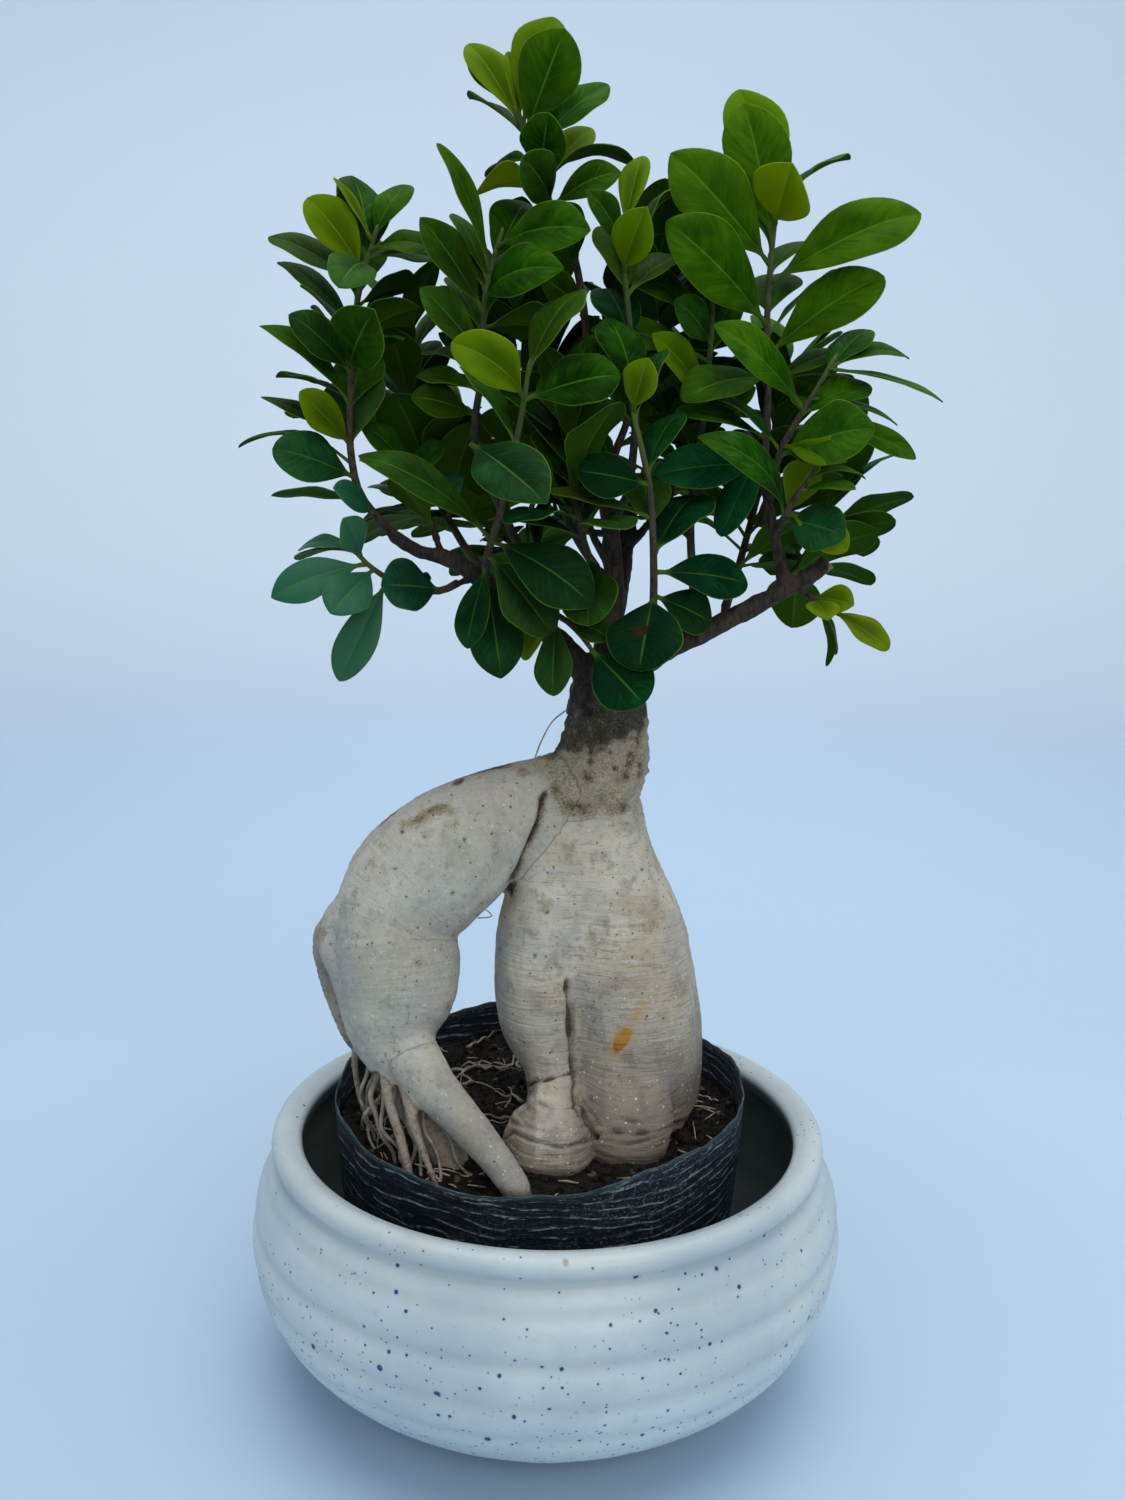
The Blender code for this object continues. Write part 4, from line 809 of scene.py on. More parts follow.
def blade_faces(rows):
    """Triangles of one side of the blade: root, rows across it, tip."""
    root = rows[0][0]
    tip = rows[-1][0]
    faces = [(root, a, b) for a, b in zip(rows[1], rows[1][1:])]
    for low, high in zip(rows[1:-2], rows[2:-1]):
        for k in range(len(low) - 1):
            faces.append((low[k], high[k], high[k + 1]))
            faces.append((low[k], high[k + 1], low[k + 1]))
    faces += [(a, tip, b) for a, b in zip(rows[-2], rows[-2][1:])]
    return faces


def seen_normal(root, tip, face):
    """Upper side's direction: 90 degrees turns it to the viewpoint, 0 upward and edge-on."""
    along = (tip - root).normalized()
    view = VIEW - (root + tip) * 0.5
    facing = (view - along * along.dot(view)).normalized()
    upward = along.cross(facing)
    if upward.z < 0.0:
        upward = -upward
    angle = math.radians(face)
    return facing * math.sin(angle) + upward * math.cos(angle)


def bounds_of(verts):
    low = [min(v[k] for v in verts) for k in range(3)]
    high = [max(v[k] for v in verts) for k in range(3)]
    return low, high


class Room:
    """Solids placed so far, asked whether a new one would touch those of another owner."""

    def __init__(self):
        self.solids = []

    def add(self, owner, part):
        self.solids.append((owner, bounds_of(part[0]), BVHTree.FromPolygons(*part)))

    def is_free(self, owner, part):
        low, high = bounds_of(part[0])
        tree = BVHTree.FromPolygons(*part)
        for other, (other_low, other_high), other_tree in self.solids:
            if other == owner:
                continue
            apart = any(low[k] > other_high[k] or high[k] < other_low[k] for k in range(3))
            if not apart and tree.overlap(other_tree):
                return False
        return True


def placed_leaf(room, owner, choices, width, bow, kind):
    """The first choice of root, tip and normal that is clear of every other stem."""
    for root, tip, normal in choices:
        test = leaf_solid(root, tip, width + 0.8, normal, bow, kind, KEEP_CLEAR)
        if room.is_free(owner, test):
            room.add(owner, test)
            return root, tip, normal
    return None


def seen_leaf_choices(points, row):
    """Places for a leaf that the front shows: first as its row says, then nudged."""
    root = nearest_seen(points, row[0], row[1])
    for shift, turn in NUDGES:
        tip = seen_at(row[2], row[3], root.y + row[4] + shift)
        yield root, tip, seen_normal(root, tip, row[6] + turn)


def nearest_seen(points, x, z):
    """The place on the stem that is seen nearest to x, z."""
    flat = []
    for p in points:
        share = -VIEW.y / (p.y - VIEW.y)
        flat.append(Vector((VIEW.x + (p.x - VIEW.x) * share, 0.0, VIEW.z + (p.z - VIEW.z) * share)))
    i, share, _ = nearest_on(flat, Vector((x, 0.0, z)))
    return points[i].lerp(points[i + 1], share)


def shoot_leaves(points, count, draw):
    """Leaves by rule round a shoot: a golden-angle spiral, opening out towards its foot."""
    lengths = [0.0]
    for a, b in zip(points, points[1:]):
        lengths.append(lengths[-1] + (b - a).length)
    start = draw.uniform(0.0, TURN)
    for k in range(count):
        share = 0.24 + 0.76 * k / (count - 1)
        goal = share * lengths[-1]
        i = max(j for j in range(len(points) - 1) if lengths[j] <= goal)
        part = (goal - lengths[i]) / (lengths[i + 1] - lengths[i])
        root = points[i].lerp(points[i + 1], min(part, 1.0))
        way = (points[i + 1] - points[i]).normalized()
        side = way.cross(Vector((0.3, 1.0, 0.2))).normalized()
        other = way.cross(side)
        angle = start + GOLDEN_ANGLE * k
        open_out = math.radians(78.0 - 46.0 * share + draw.uniform(-8.0, 8.0))
        length = draw.uniform(46.0, 57.0) * (1.0 - 0.2 * share * share)
        yield root, way, side, other, angle, open_out, length, draw.uniform(0.48, 0.56)


def shoot_choices(root, way, side, other, angle, open_out, length):
    """Places for a leaf by rule: first as its spiral says, then nudged."""
    for k, (shift, turn) in enumerate(NUDGES):
        spin = angle + math.radians(turn * 1.5)
        lean = open_out + math.radians(shift * 0.8)
        out = side * math.cos(spin) + other * math.sin(spin)
        tip = root + (way * math.cos(lean) + out * math.sin(lean)) * length * (1.0 - 0.008 * k)
        yield root, tip, Vector((0.0, 0.0, 1.0)) + way * 0.5 - out * 0.35


def linked(name, data):
    """A new object in the scene."""
    item = bpy.data.objects.new(name, data)
    bpy.context.scene.collection.objects.link(item)
    return item


def new_mesh(name, verts, faces, smooth=True):
    """A mesh from points in metres."""
    mesh = bpy.data.meshes.new(name)
    mesh.from_pydata(verts, [], faces)
    mesh.update()
    for polygon in mesh.polygons:
        polygon.use_smooth = smooth
    return mesh


def as_piece(name, mesh, material, node):
    """Makes a mesh a piece of the look; it stands for a CAD node where one is named."""
    piece = linked(name, mesh)
    mesh.materials.append(material)
    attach(piece, "root")
    if node:
        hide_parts(node)
    return piece


def new_piece(name, verts, faces, material, node, slot, smooth=True):
    """A piece of the look from points in millimetres."""
    mesh = new_mesh(name, np.asarray(verts, dtype=float) * MM, faces, smooth)
    return as_piece(name, mesh, material, node)


def set_attribute(mesh, name, values):
    """Stores three numbers for each point of a mesh."""
    layer = mesh.attributes.new(name, "FLOAT_VECTOR", "POINT")
    layer.data.foreach_set("vector", np.asarray(values, dtype=np.float32).ravel())


def vertex_values(mesh, what):
    """Places (co) or normals of a mesh's points, in metres."""
    flat = np.empty(len(mesh.vertices) * 3)
    mesh.vertices.foreach_get(what, flat)
    return flat.reshape(-1, 3)


def set_points(mesh, points):
    mesh.vertices.foreach_set("co", (np.asarray(points) * MM).ravel())
    mesh.update()


def lattice_noise(points, size, seed):
    """Smooth noise from -1 to 1 whose lumps are about size millimetres apart."""
    place = np.asarray(points, dtype=float) / size
    cell = np.floor(place).astype(np.int64)
    part = place - cell
    part = part * part * (3.0 - 2.0 * part)
    total = np.zeros(len(place))
    for corner in itertools.product((0, 1), repeat=3):
        here = cell + np.array(corner)
        code = here[:, 0] * 73856093 ^ here[:, 1] * 19349663 ^ here[:, 2] * 83492791 ^ (seed * 7919)
        code = (code ^ (code >> 13)) * 1274126177
        value = ((code ^ (code >> 16)) & 0xFFFF) / 32767.5 - 1.0
        weight = np.prod(np.where(np.array(corner) == 1, part, 1.0 - part), axis=1)
        total += value * weight
    return total


def step_between(values, low, high):
    """Runs smoothly from 0 at low to 1 at high."""
    share = np.clip((np.asarray(values) - low) / (high - low), 0.0, 1.0)
    return share * share * (3.0 - 2.0 * share)


def layers(points, rows):
    """Sum of noises, each given by its height, its size and its seed."""
    return sum(height * lattice_noise(points, size, seed) for height, size, seed in rows)


class Paint:
    """Builds a material's nodes; a value may be a number, a colour or another node's output."""

    def __init__(self, name):
        self.material = bpy.data.materials.new(name)
        self.material.use_nodes = True
        self.tree = self.material.node_tree
        self.shader = self.tree.nodes["Principled BSDF"]
        self.output = self.tree.nodes["Material Output"]

    def put(self, socket, value):
        if isinstance(value, bpy.types.NodeSocket):
            self.tree.links.new(value, socket)
        elif isinstance(value, tuple) and socket.type == "RGBA":
            socket.default_value = (*value, 1.0)
        else:
            socket.default_value = value

    def fill(self, item, *values, **named):
        """Puts values into a node's sockets in their order or by name, and gives its outputs."""
        for socket, value in zip(item.inputs, values):
            self.put(socket, value)
        for key, value in named.items():
            self.put(item.inputs[key.replace("_", " ")], value)
        return item.outputs

    def node(self, kind, **settings):
        item = self.tree.nodes.new("ShaderNode" + kind)
        for key, value in settings.items():
            setattr(item, key, value)
        return item

    def parts(self, vector):
        """The three numbers of a vector."""
        return self.fill(self.node("SeparateXYZ"), vector)

    def attribute(self, name):
        vector = self.node("Attribute", attribute_name=name).outputs["Vector"]
        return vector, self.parts(vector)

    def place(self):
        """The point on the object in metres."""
        return self.node("TexCoord").outputs["Object"]

    def stretched(self, vector, scale):
        return self.fill(self.node("Mapping"), Vector=vector, Scale=scale)[0]

    def noise(self, vector, scale, detail=3.0, rough=0.55, distortion=0.0):
        return self.fill(self.node("TexNoise"), Vector=vector, Scale=scale, Detail=detail,
                         Roughness=rough, Distortion=distortion)["Fac"]

    def cells(self, vector, scale):
        """Distance to the nearest cell's middle, and three random numbers for that cell."""
        cell = self.fill(self.node("TexVoronoi"), Vector=vector, Scale=scale)
        return cell["Distance"], self.fill(self.node("SeparateColor"), cell["Color"])

    def math(self, operation, *values):
        return self.fill(self.node("Math", operation=operation), *values)[0]

    def times(self, a, b):
        return self.math("MULTIPLY", a, b)

    def plus(self, a, b):
        return self.math("ADD", a, b)

    def minus(self, a, b):
        return self.math("SUBTRACT", a, b)

    def most(self, a, b):
        return self.math("MAXIMUM", a, b)

    def sway(self, value, amount):
        """A value that runs round 0.5, taken to run round 0."""
        return self.times(self.minus(value, 0.5), amount)

    def span(self, value, low, high, to_low=0.0, to_high=1.0):
        """The value taken smoothly from one range to another, and held at its ends."""
        item = self.node("MapRange", interpolation_type="SMOOTHSTEP")
        return self.fill(item, value, low, high, to_low, to_high)[0]

    def blend(self, share, a, b, mode="MIX"):
        item = self.node("Mix", data_type="RGBA", blend_type=mode)
        for socket, value in ((0, share), (6, a), (7, b)):
            self.put(item.inputs[socket], value)
        return item.outputs[2]

    def bump(self, height, distance, strength):
        return self.fill(self.node("Bump"), Height=height, Distance=distance, Strength=strength)[0]

    def finish(self, colour, roughness, normal, **values):
        self.fill(self.shader, Base_Color=colour, Roughness=roughness, Normal=normal, **values)
        return self.material


def glaze_paint():
    """White satin glaze with cobalt speckles, painted lighter near the foot and darker towards the rim as
    painted light; darker where the inside wall falls away.
    """
    p = Paint("speckled_glaze")
    place = p.place()
    _, (inside, ridge, _) = p.attribute("bowl_part")
    cloud = p.noise(place, 16.0, 3.0)
    fine = p.noise(place, 140.0, 4.0)
    colour = p.blend(p.span(cloud, 0.36, 0.64), (0.450, 0.520, 0.545), (0.545, 0.610, 0.615))
    colour = p.blend(p.times(ridge, 0.35), colour, (0.44, 0.49, 0.475))
    colour = p.blend(p.span(fine, 0.45, 0.75, 0.0, 0.30), colour, (0.43, 0.475, 0.455))
    warm = p.span(p.noise(place, 30.0, 2.0), 0.55, 0.8, 0.0, 0.35)
    colour = p.blend(warm, colour, (0.60, 0.60, 0.53))
    crowd = p.span(p.noise(place, 22.0, 2.0), 0.35, 0.62, 0.30, 1.0)
    _, _, height = p.parts(place)
    crowd = p.times(crowd, p.span(height, 0.020, 0.115, 1.35, 0.55))
    # Painted light: the body's colour is raised near the foot and lowered towards the rim, to make up for how
    # the light falls on it.
    colour = p.blend(1.0, colour, p.span(height, 0.010, 0.114, 1.20, 0.93), "MULTIPLY")
    for scale, radius, share, tint in SPECKLES:
        distance, chance = p.cells(place, scale)
        shown = p.math("LESS_THAN", chance[0], p.times(crowd, share))
        size = p.times(p.span(chance[1], 0.0, 1.0, 0.50, 1.1), radius * scale)
        ragged = p.plus(distance, p.sway(fine, radius * scale))
        away = p.math("DIVIDE", ragged, size)
        spot = p.times(shown, p.span(away, 0.75, 1.15, 1.0, 0.0))
        glow = p.times(shown, p.span(away, 0.9, 2.2, 0.28, 0.0))
        colour = p.blend(glow, colour, (0.27, 0.36, 0.52))
        colour = p.blend(spot, colour, tint)
    mark = p.fill(p.node("VectorMath", operation="DISTANCE"), place, RIM_MARK)["Value"]
    spot = p.span(mark, 0.0010, 0.0022, 0.8, 0.0)
    colour = p.blend(spot, colour, (0.20, 0.13, 0.08))
    dark = p.blend(p.span(cloud, 0.35, 0.7), (0.13, 0.17, 0.17), (0.20, 0.235, 0.22))
    colour = p.blend(p.span(inside, 0.2, 0.8), colour, dark)
    height = p.plus(p.times(fine, 0.4), p.noise(place, 60.0, 2.0))
    rough = p.span(p.noise(place, 45.0, 3.0), 0.3, 0.7, 0.38, 0.50)
    normal = p.bump(height, 0.0005, 0.35)
    return p.finish(colour, rough, normal, Coat_Weight=0.12, Coat_Roughness=0.25)


def film_paint():
    """Black bag film with fine crinkles along it and whitish scuffs on them."""
    p = Paint("bag_film")
    vector, (_, up, rim) = p.attribute("bag_place")
    place = p.place()
    drift = p.noise(p.stretched(vector, (12.0, 20.0, 1.0)), 1.0, 3.0)
    phase = p.plus(p.times(up, 235.0), p.times(drift, 6.0))
    stripe = p.math("SINE", p.times(phase, TURN))
    crinkle = p.noise(p.stretched(vector, (90.0, 620.0, 1.0)), 1.0, 5.0, 0.75, 0.8)
    hatch = p.noise(p.stretched(place, (500.0, 500.0, 900.0)), 1.0, 3.0, 0.7)
    broken = p.noise(p.stretched(vector, (60.0, 240.0, 1.0)), 1.0, 5.0, 0.75)
    streak = p.times(p.span(stripe, 0.72, 0.97), p.span(broken, 0.46, 0.54))
    streak = p.times(streak, p.span(hatch, 0.36, 0.54))
    fleck = p.times(p.span(crinkle, 0.56, 0.62), p.span(hatch, 0.50, 0.60))
    dust = p.times(p.span(p.noise(place, 800.0, 2.0, 0.6), 0.56, 0.64), p.span(drift, 0.42, 0.62))
    scuff = p.most(streak, p.times(p.most(fleck, dust), 0.4))
    base = p.blend(p.span(crinkle, 0.35, 0.65), (0.003, 0.006, 0.011), (0.009, 0.017, 0.026))
    colour = p.blend(p.times(scuff, 0.85), base, (0.30, 0.37, 0.40))
    edge = p.times(rim, p.span(broken, 0.35, 0.6, 0.2, 0.7))
    colour = p.blend(edge, colour, (0.045, 0.085, 0.095))
    height = p.plus(p.times(p.span(stripe, 0.3, 1.0), 0.4), p.times(crinkle, 1.2))
    height = p.plus(height, p.times(hatch, 0.6))
    rough = p.span(broken, 0.3, 0.7, 0.36, 0.55)
    return p.finish(colour, rough, p.bump(height, 0.0008, 0.7), Specular_IOR_Level=0.32)


def soil_paint():
    """Near-black crumbs, browner in patches, with a few pale grains."""
    p = Paint("potting_mix")
    place = p.place()
    grain, chance = p.cells(place, 420.0)
    broad = p.noise(place, 60.0, 4.0)
    colour = p.blend(p.span(chance[0], 0.0, 1.0), (0.0035, 0.0028, 0.002), (0.016, 0.012, 0.009))
    colour = p.blend(p.span(broad, 0.50, 0.75, 0.0, 0.5), colour, (0.028, 0.019, 0.013))
    pale = p.math("GREATER_THAN", chance[1], 0.965)
    colour = p.blend(p.times(pale, 0.6), colour, (0.13, 0.095, 0.06))
    height = p.plus(p.times(grain, -0.8), p.noise(place, 700.0, 4.0))
    return p.finish(colour, 0.9, p.bump(height, 0.0012, 0.9), Specular_IOR_Level=0.12)


def bark_paint():
    """Smooth root bark: broken lines across each limb, painted shade in the hollows and creases with darker
    pits and spots, moss and one wound.
    """
    p = Paint("root_bark")
    place = p.place()
    vector, (_, _, calm) = p.attribute("bark_place")
    lively = p.span(calm, 0.0, 1.0, 1.0, 0.4)
    _, (painted_shade_and_dirt, moss, pink) = p.attribute("bark_mask")
    _, (wound, low, thin) = p.attribute("bark_mark")
    broad = p.noise(place, 24.0, 4.0)
    cool = p.noise(place, 33.0, 3.0)
    blotch = p.noise(place, 95.0, 5.0, 0.65)
    fine = p.noise(place, 420.0, 5.0, 0.72)
    colour = p.blend(p.span(broad, 0.36, 0.64), (0.43, 0.365, 0.262), (0.70, 0.61, 0.465))
    colour = p.blend(p.span(cool, 0.44, 0.62, 0.0, 0.65), colour, (0.40, 0.378, 0.352))
    colour = p.blend(p.span(blotch, 0.46, 0.66, 0.0, 0.5), colour, (0.60, 0.555, 0.46))
    colour = p.blend(p.span(blotch, 0.50, 0.32, 0.0, 0.6), colour, (0.23, 0.18, 0.125))
    colour = p.blend(p.times(pink, 0.55), colour, (0.49, 0.36, 0.235))
    lines = p.noise(p.stretched(vector, (640.0, 60.0, 0.0)), 1.0, 4.0, 0.62, 0.6)
    wide = p.noise(p.stretched(vector, (300.0, 36.0, 0.0)), 1.0, 3.0, 0.6, 0.5)
    line_mask = p.times(p.span(p.noise(place, 40.0, 3.0), 0.40, 0.58), lively)
    light_line = p.times(p.span(lines, 0.55, 0.63), line_mask)
    dark_line = p.times(p.span(lines, 0.45, 0.36), p.span(blotch, 0.40, 0.60))
    dark_line = p.times(dark_line, lively)
    ring = p.times(p.span(wide, 0.60, 0.65), p.span(cool, 0.54, 0.44))
    ring = p.times(ring, lively)
    colour = p.blend(p.times(dark_line, 0.42), colour, (0.17, 0.135, 0.10))
    colour = p.blend(p.times(light_line, 0.34), colour, (0.62, 0.585, 0.51))
    colour = p.blend(p.times(ring, 0.40), colour, (0.66, 0.63, 0.57))
    colour = p.blend(p.times(calm, 0.45), colour, (0.38, 0.395, 0.345))
    colour = p.blend(p.span(fine, 0.57, 0.68, 0.0, 0.55), colour, (0.66, 0.63, 0.565))
    colour = p.blend(p.span(fine, 0.43, 0.32, 0.0, 0.55), colour, (0.15, 0.12, 0.09))
    # Darker towards the soil: part painted shade, part the bark's own darker tone.
    colour = p.blend(p.times(low, 0.93), colour, (0.135, 0.104, 0.082))
    distance, chance = p.cells(place, 430.0)
    crumbly = p.plus(distance, p.sway(fine, 0.6))
    pore = p.times(p.math("LESS_THAN", chance[0], 0.10), p.span(crumbly, 0.12, 0.24, 1.0, 0.0))
    colour = p.blend(p.times(pore, 0.75), colour, (0.07, 0.05, 0.03))
    lit = p.math("GREATER_THAN", chance[1], p.span(low, 0.0, 0.7, 0.93, 0.72))
    speck = p.times(lit, p.span(crumbly, 0.12, 0.30, 1.0, 0.0))
    colour = p.blend(p.times(speck, 0.80), colour, (0.70, 0.66, 0.60))
    rust = p.blend(p.span(fine, 0.35, 0.6), (0.11, 0.075, 0.052), (0.29, 0.215, 0.155))
    colour = p.blend(p.times(thin, 0.8), colour, rust)
    grain = p.noise(place, 950.0, 3.0, 0.7)
    growth = p.times(p.plus(p.noise(place, 210.0, 5.0, 0.75), grain), 0.5)
    worn = p.blend(p.span(grain, 0.42, 0.58), (0.17, 0.12, 0.062), (0.42, 0.325, 0.20))
    patchy = p.plus(moss, p.sway(blotch, 1.2))
    colour = p.blend(p.span(patchy, 0.0, 0.48, 0.0, 0.85), colour, worn)
    mossy = p.span(p.plus(growth, p.times(moss, 0.30)), 0.65, 0.73)
    tint = p.blend(p.span(grain, 0.42, 0.60), (0.012, 0.009, 0.005), (0.075, 0.053, 0.028))
    colour = p.blend(p.times(mossy, 0.90), colour, tint)
    # Painted shade: the bark is darkened in its hollows, folds and the arm's crease, and in its pits and dark
    # spots.
    shade_and_grime = p.span(p.plus(painted_shade_and_dirt, p.sway(fine, 0.7)), 0.15, 0.9)
    colour = p.blend(p.times(shade_and_grime, 0.92), colour, (0.050, 0.036, 0.022))
    amber = p.blend(p.span(blotch, 0.38, 0.6), (0.33, 0.125, 0.012), (0.53, 0.27, 0.055))
    torn = p.plus(wound, p.sway(blotch, 1.3))
    colour = p.blend(p.span(torn, 0.22, 0.62, 0.0, 0.75), colour, (0.50, 0.33, 0.17))
    colour = p.blend(p.span(torn, 0.60, 0.80), colour, amber)
    height = p.plus(p.times(p.times(lines, lively), 1.1), p.times(fine, 0.8))
    height = p.plus(height, p.times(wide, 0.8))
    height = p.minus(height, p.times(pore, 0.6))
    height = p.plus(height, p.times(p.times(moss, grain), 2.2))
    rough = p.span(blotch, 0.3, 0.7, 0.60, 0.80)
    return p.finish(colour, rough, p.bump(height, 0.0012, 0.75), Specular_IOR_Level=0.3)


def wood_paint(name, low, high, streaky):
    """Rough brown bark of the grafted wood and of the twigs, in colours painted dark as the shade inside the
    canopy.
    """
    p = Paint(name)
    place = p.place()
    ridge = p.noise(p.stretched(place, (1.0, 1.0, 0.28)), 520.0 * streaky, 5.0, 0.65, 0.6)
    broad = p.noise(place, 70.0, 4.0)
    colour = p.blend(p.span(ridge, 0.35, 0.7), low, high)
    colour = p.blend(p.span(broad, 0.5, 0.75, 0.0, 0.5), colour, tuple(1.6 * c for c in high))
    _, (age, cut, _) = p.attribute("twig_place")
    green = p.blend(p.span(broad, 0.4, 0.7), (0.040, 0.075, 0.010), (0.085, 0.13, 0.020))
    colour = p.blend(p.span(age, 0.40, 0.8), colour, green)
    colour = p.blend(cut, colour, (0.22, 0.14, 0.075))
    height = p.plus(ridge, p.times(p.noise(place, 900.0, 3.0), 0.4))
    return p.finish(colour, 0.78, p.bump(height, 0.0012, 0.8), Specular_IOR_Level=0.3)


def leaf_paint():
    """Leathery blade: glossy green above, paler and duller below, light midrib, veins and margin; painted
    light and shade from each leaf's shade value and towards the tip, and a painted bluish sheen on some
    leaves.
    """
    p = Paint("ficus_leaf")
    _, (along, across, upper) = p.attribute("leaf_place")
    _, (youth, shade, hue_and_sheen) = p.attribute("leaf_tint")
    _, (petiole, bite, seed) = p.attribute("leaf_mark")
    place = p.place()
    aside = p.math("ABSOLUTE", across)
    broad = p.noise(place, 60.0, 4.0, 0.6)
    slant = p.minus(p.times(along, 13.0), p.times(aside, 3.2))
    vein_place = p.fill(p.node("CombineXYZ"), p.times(slant, 1.9),
                        p.times(across, 1.6), p.times(seed, 40.0))[0]
    streak = p.noise(vein_place, 1.0, 4.0, 0.65)
    dark = p.blend(p.span(hue_and_sheen, 0.3, 1.0), (0.002, 0.019, 0.0006), (0.0015, 0.022, 0.007))
    mid = p.blend(p.span(hue_and_sheen, 0.3, 1.0), (0.016, 0.080, 0.0010), (0.004, 0.064, 0.018))
    bright = p.blend(p.span(hue_and_sheen, 0.3, 1.0), (0.056, 0.135, 0.0012), (0.012, 0.095, 0.026))
    young = p.blend(hue_and_sheen, (0.11, 0.25, 0.003), (0.23, 0.30, 0.004))
    outer = p.most(p.span(aside, 0.15, 1.0), p.span(along, 0.55, 1.0))
    fresh = p.times(youth, p.span(outer, 0.0, 1.0, 0.45, 1.0))
    light = p.plus(shade, p.sway(broad, 2.2))
    light = p.plus(light, p.sway(streak, 1.5))
    # Painted light: the blade is lighter towards its tip.
    light = p.plus(light, p.times(p.minus(along, 0.55), 0.35))
    colour = p.blend(p.span(light, -0.1, 0.9), dark, mid)
    colour = p.blend(p.span(light, 0.55, 1.4), colour, bright)
    # Painted sheen: a lighter bluish green where the hue value runs past 1.
    colour = p.blend(p.span(hue_and_sheen, 1.1, 1.6, 0.0, 0.85), colour, (0.018, 0.125, 0.060))
    colour = p.blend(fresh, colour, young)
    below = p.blend(youth, (0.024, 0.066, 0.003), (0.12, 0.20, 0.006))
    colour = p.blend(p.minus(1.0, upper), colour, below)
    wave = p.math("ABSOLUTE", p.math("SINE", p.times(p.plus(slant, seed), math.pi)))
    side_vein = p.times(p.span(wave, 0.0, 0.14, 1.0, 0.0), p.span(aside, 0.92, 0.7))
    rib = p.times(p.span(aside, 0.012, 0.045, 1.0, 0.0), p.span(along, 1.0, 0.80))
    margin = p.span(aside, 0.96, 0.985)
    pale = p.blend(youth, (0.085, 0.19, 0.016), (0.30, 0.38, 0.04))
    colour = p.blend(p.times(side_vein, 0.15), colour, pale)
    colour = p.blend(p.times(rib, 0.55), colour, pale)
    colour = p.blend(p.times(margin, 0.75), colour, pale)
    colour = p.blend(petiole, colour, (0.075, 0.125, 0.022))
    spots = p.times(p.span(p.noise(place, 300.0, 3.0), 0.72, 0.78), p.span(seed, 0.5, 0.75))
    colour = p.blend(p.times(spots, 0.8), colour, (0.085, 0.055, 0.018))
    torn = p.sway(p.noise(place, 380.0, 4.0), 1.6)
    eaten = p.span(p.plus(bite, torn), 0.62, 0.74)
    colour = p.blend(eaten, colour, (0.030, 0.018, 0.008))
    height = p.plus(p.times(side_vein, -0.35), p.times(streak, 1.2))
    height = p.plus(height, p.times(broad, 1.0))
    height = p.plus(height, p.times(p.noise(place, 500.0, 2.0), 0.2))
    normal = p.bump(height, 0.0006, 0.5)
    rough = p.most(p.span(upper, 0.0, 1.0, 0.62, 0.0), p.span(broad, 0.35, 0.65, 0.34, 0.46))
    gloss = p.span(hue_and_sheen, 0.9, 1.5, 0.015, 0.22)
    p.finish(colour, rough, normal, Specular_IOR_Level=gloss)
    glow = p.blend(0.5, colour, (0.075, 0.22, 0.003))
    glow = p.blend(youth, glow, (0.46, 0.52, 0.015))
    through = p.fill(p.node("BsdfTranslucent"), Color=glow)[0]
    share = p.span(youth, 0.0, 1.0, 0.09, 0.42)
    mixed = p.fill(p.node("MixShader"), share, p.shader.outputs[0], through)[0]
    p.put(p.output.inputs["Surface"], mixed)
    return p.material


def thread_paint(name, low, high):
    """Dry fibre of straw bits and loose rootlets."""
    p = Paint(name)
    place = p.place()
    streak = p.noise(place, 240.0, 4.0)
    colour = p.blend(p.span(streak, 0.3, 0.7), low, high)
    return p.finish(colour, 0.75, p.bump(p.noise(place, 1500.0, 2.0), 0.0003, 0.6))


def floor_paint():
    """Pale floor, painted lighter far behind the object as painted light where the lamps reach it less."""
    p = Paint("pale_floor")
    place = p.place()
    tone = p.blend(p.noise(place, 3.0, 3.0), (0.42, 0.545, 0.67), (0.435, 0.56, 0.685))
    far = p.fill(p.node("VectorMath", operation="LENGTH"), place)["Value"]
    # Painted light: the far floor and sweep are painted lighter.
    tone = p.blend(p.span(far, 1.2, 4.4), tone, (0.80, 0.88, 0.96))
    return p.finish(tone, 0.6, p.bump(p.noise(place, 90.0, 4.0), 0.0006, 0.3))


def make_bowl_look(material):
    """Turned body with soft throwing rings; the profile runs from the foot over the lip inward."""
    outer = smooth_path(BOWL_OUTER[1:], 2.2)
    inner = smooth_path((BOWL_OUTER[-1], *BOWL_INNER[:-1]), 2.4)[1:]
    angles = round_angles(BOWL_FINE)
    verts = []
    part = []
    for i, (r, z) in enumerate(outer + inner):
        outside = i < len(outer)
        place = ring(angles, BOWL_REACH, z)
        reach = np.full(BOWL_FINE, float(r))
        groove = 0.0
        if BOWL_UNEVEN_SPAN[0] < z < BOWL_UNEVEN_SPAN[1]:
            for mark, depth, width in BOWL_GROOVES:
                groove += depth * math.exp(-((z - mark) / width) ** 2)
            reach += layers(place, BOWL_UNEVEN)
            reach -= groove * (1.0 if outside else 0.4)
        lift = layers(place, BOWL_LIFT) * min(1.0, z / 60.0)
        verts.append(ring(angles, reach, z + lift))
        dark = 0.0 if outside else float(step_between(-z, -108.5, -105.5))
        part += [(dark, min(1.0, groove), 0.0)] * BOWL_FINE
    rows = len(verts)
    verts = np.concatenate(verts + [[(0.0, 0.0, 0.0)], [(0.0, 0.0, BOWL_INNER[-1][1])]])
    verts[:BOWL_FINE, 2] = 0.0
    faces = closed_wall(rows, BOWL_FINE)
    bowl = new_piece("bowl", verts, faces, material, "ceramic_bowl", "glaze")
    set_attribute(bowl.data, "bowl_part", part + [(0.0, 0.0, 0.0), (1.0, 0.0, 0.0)])


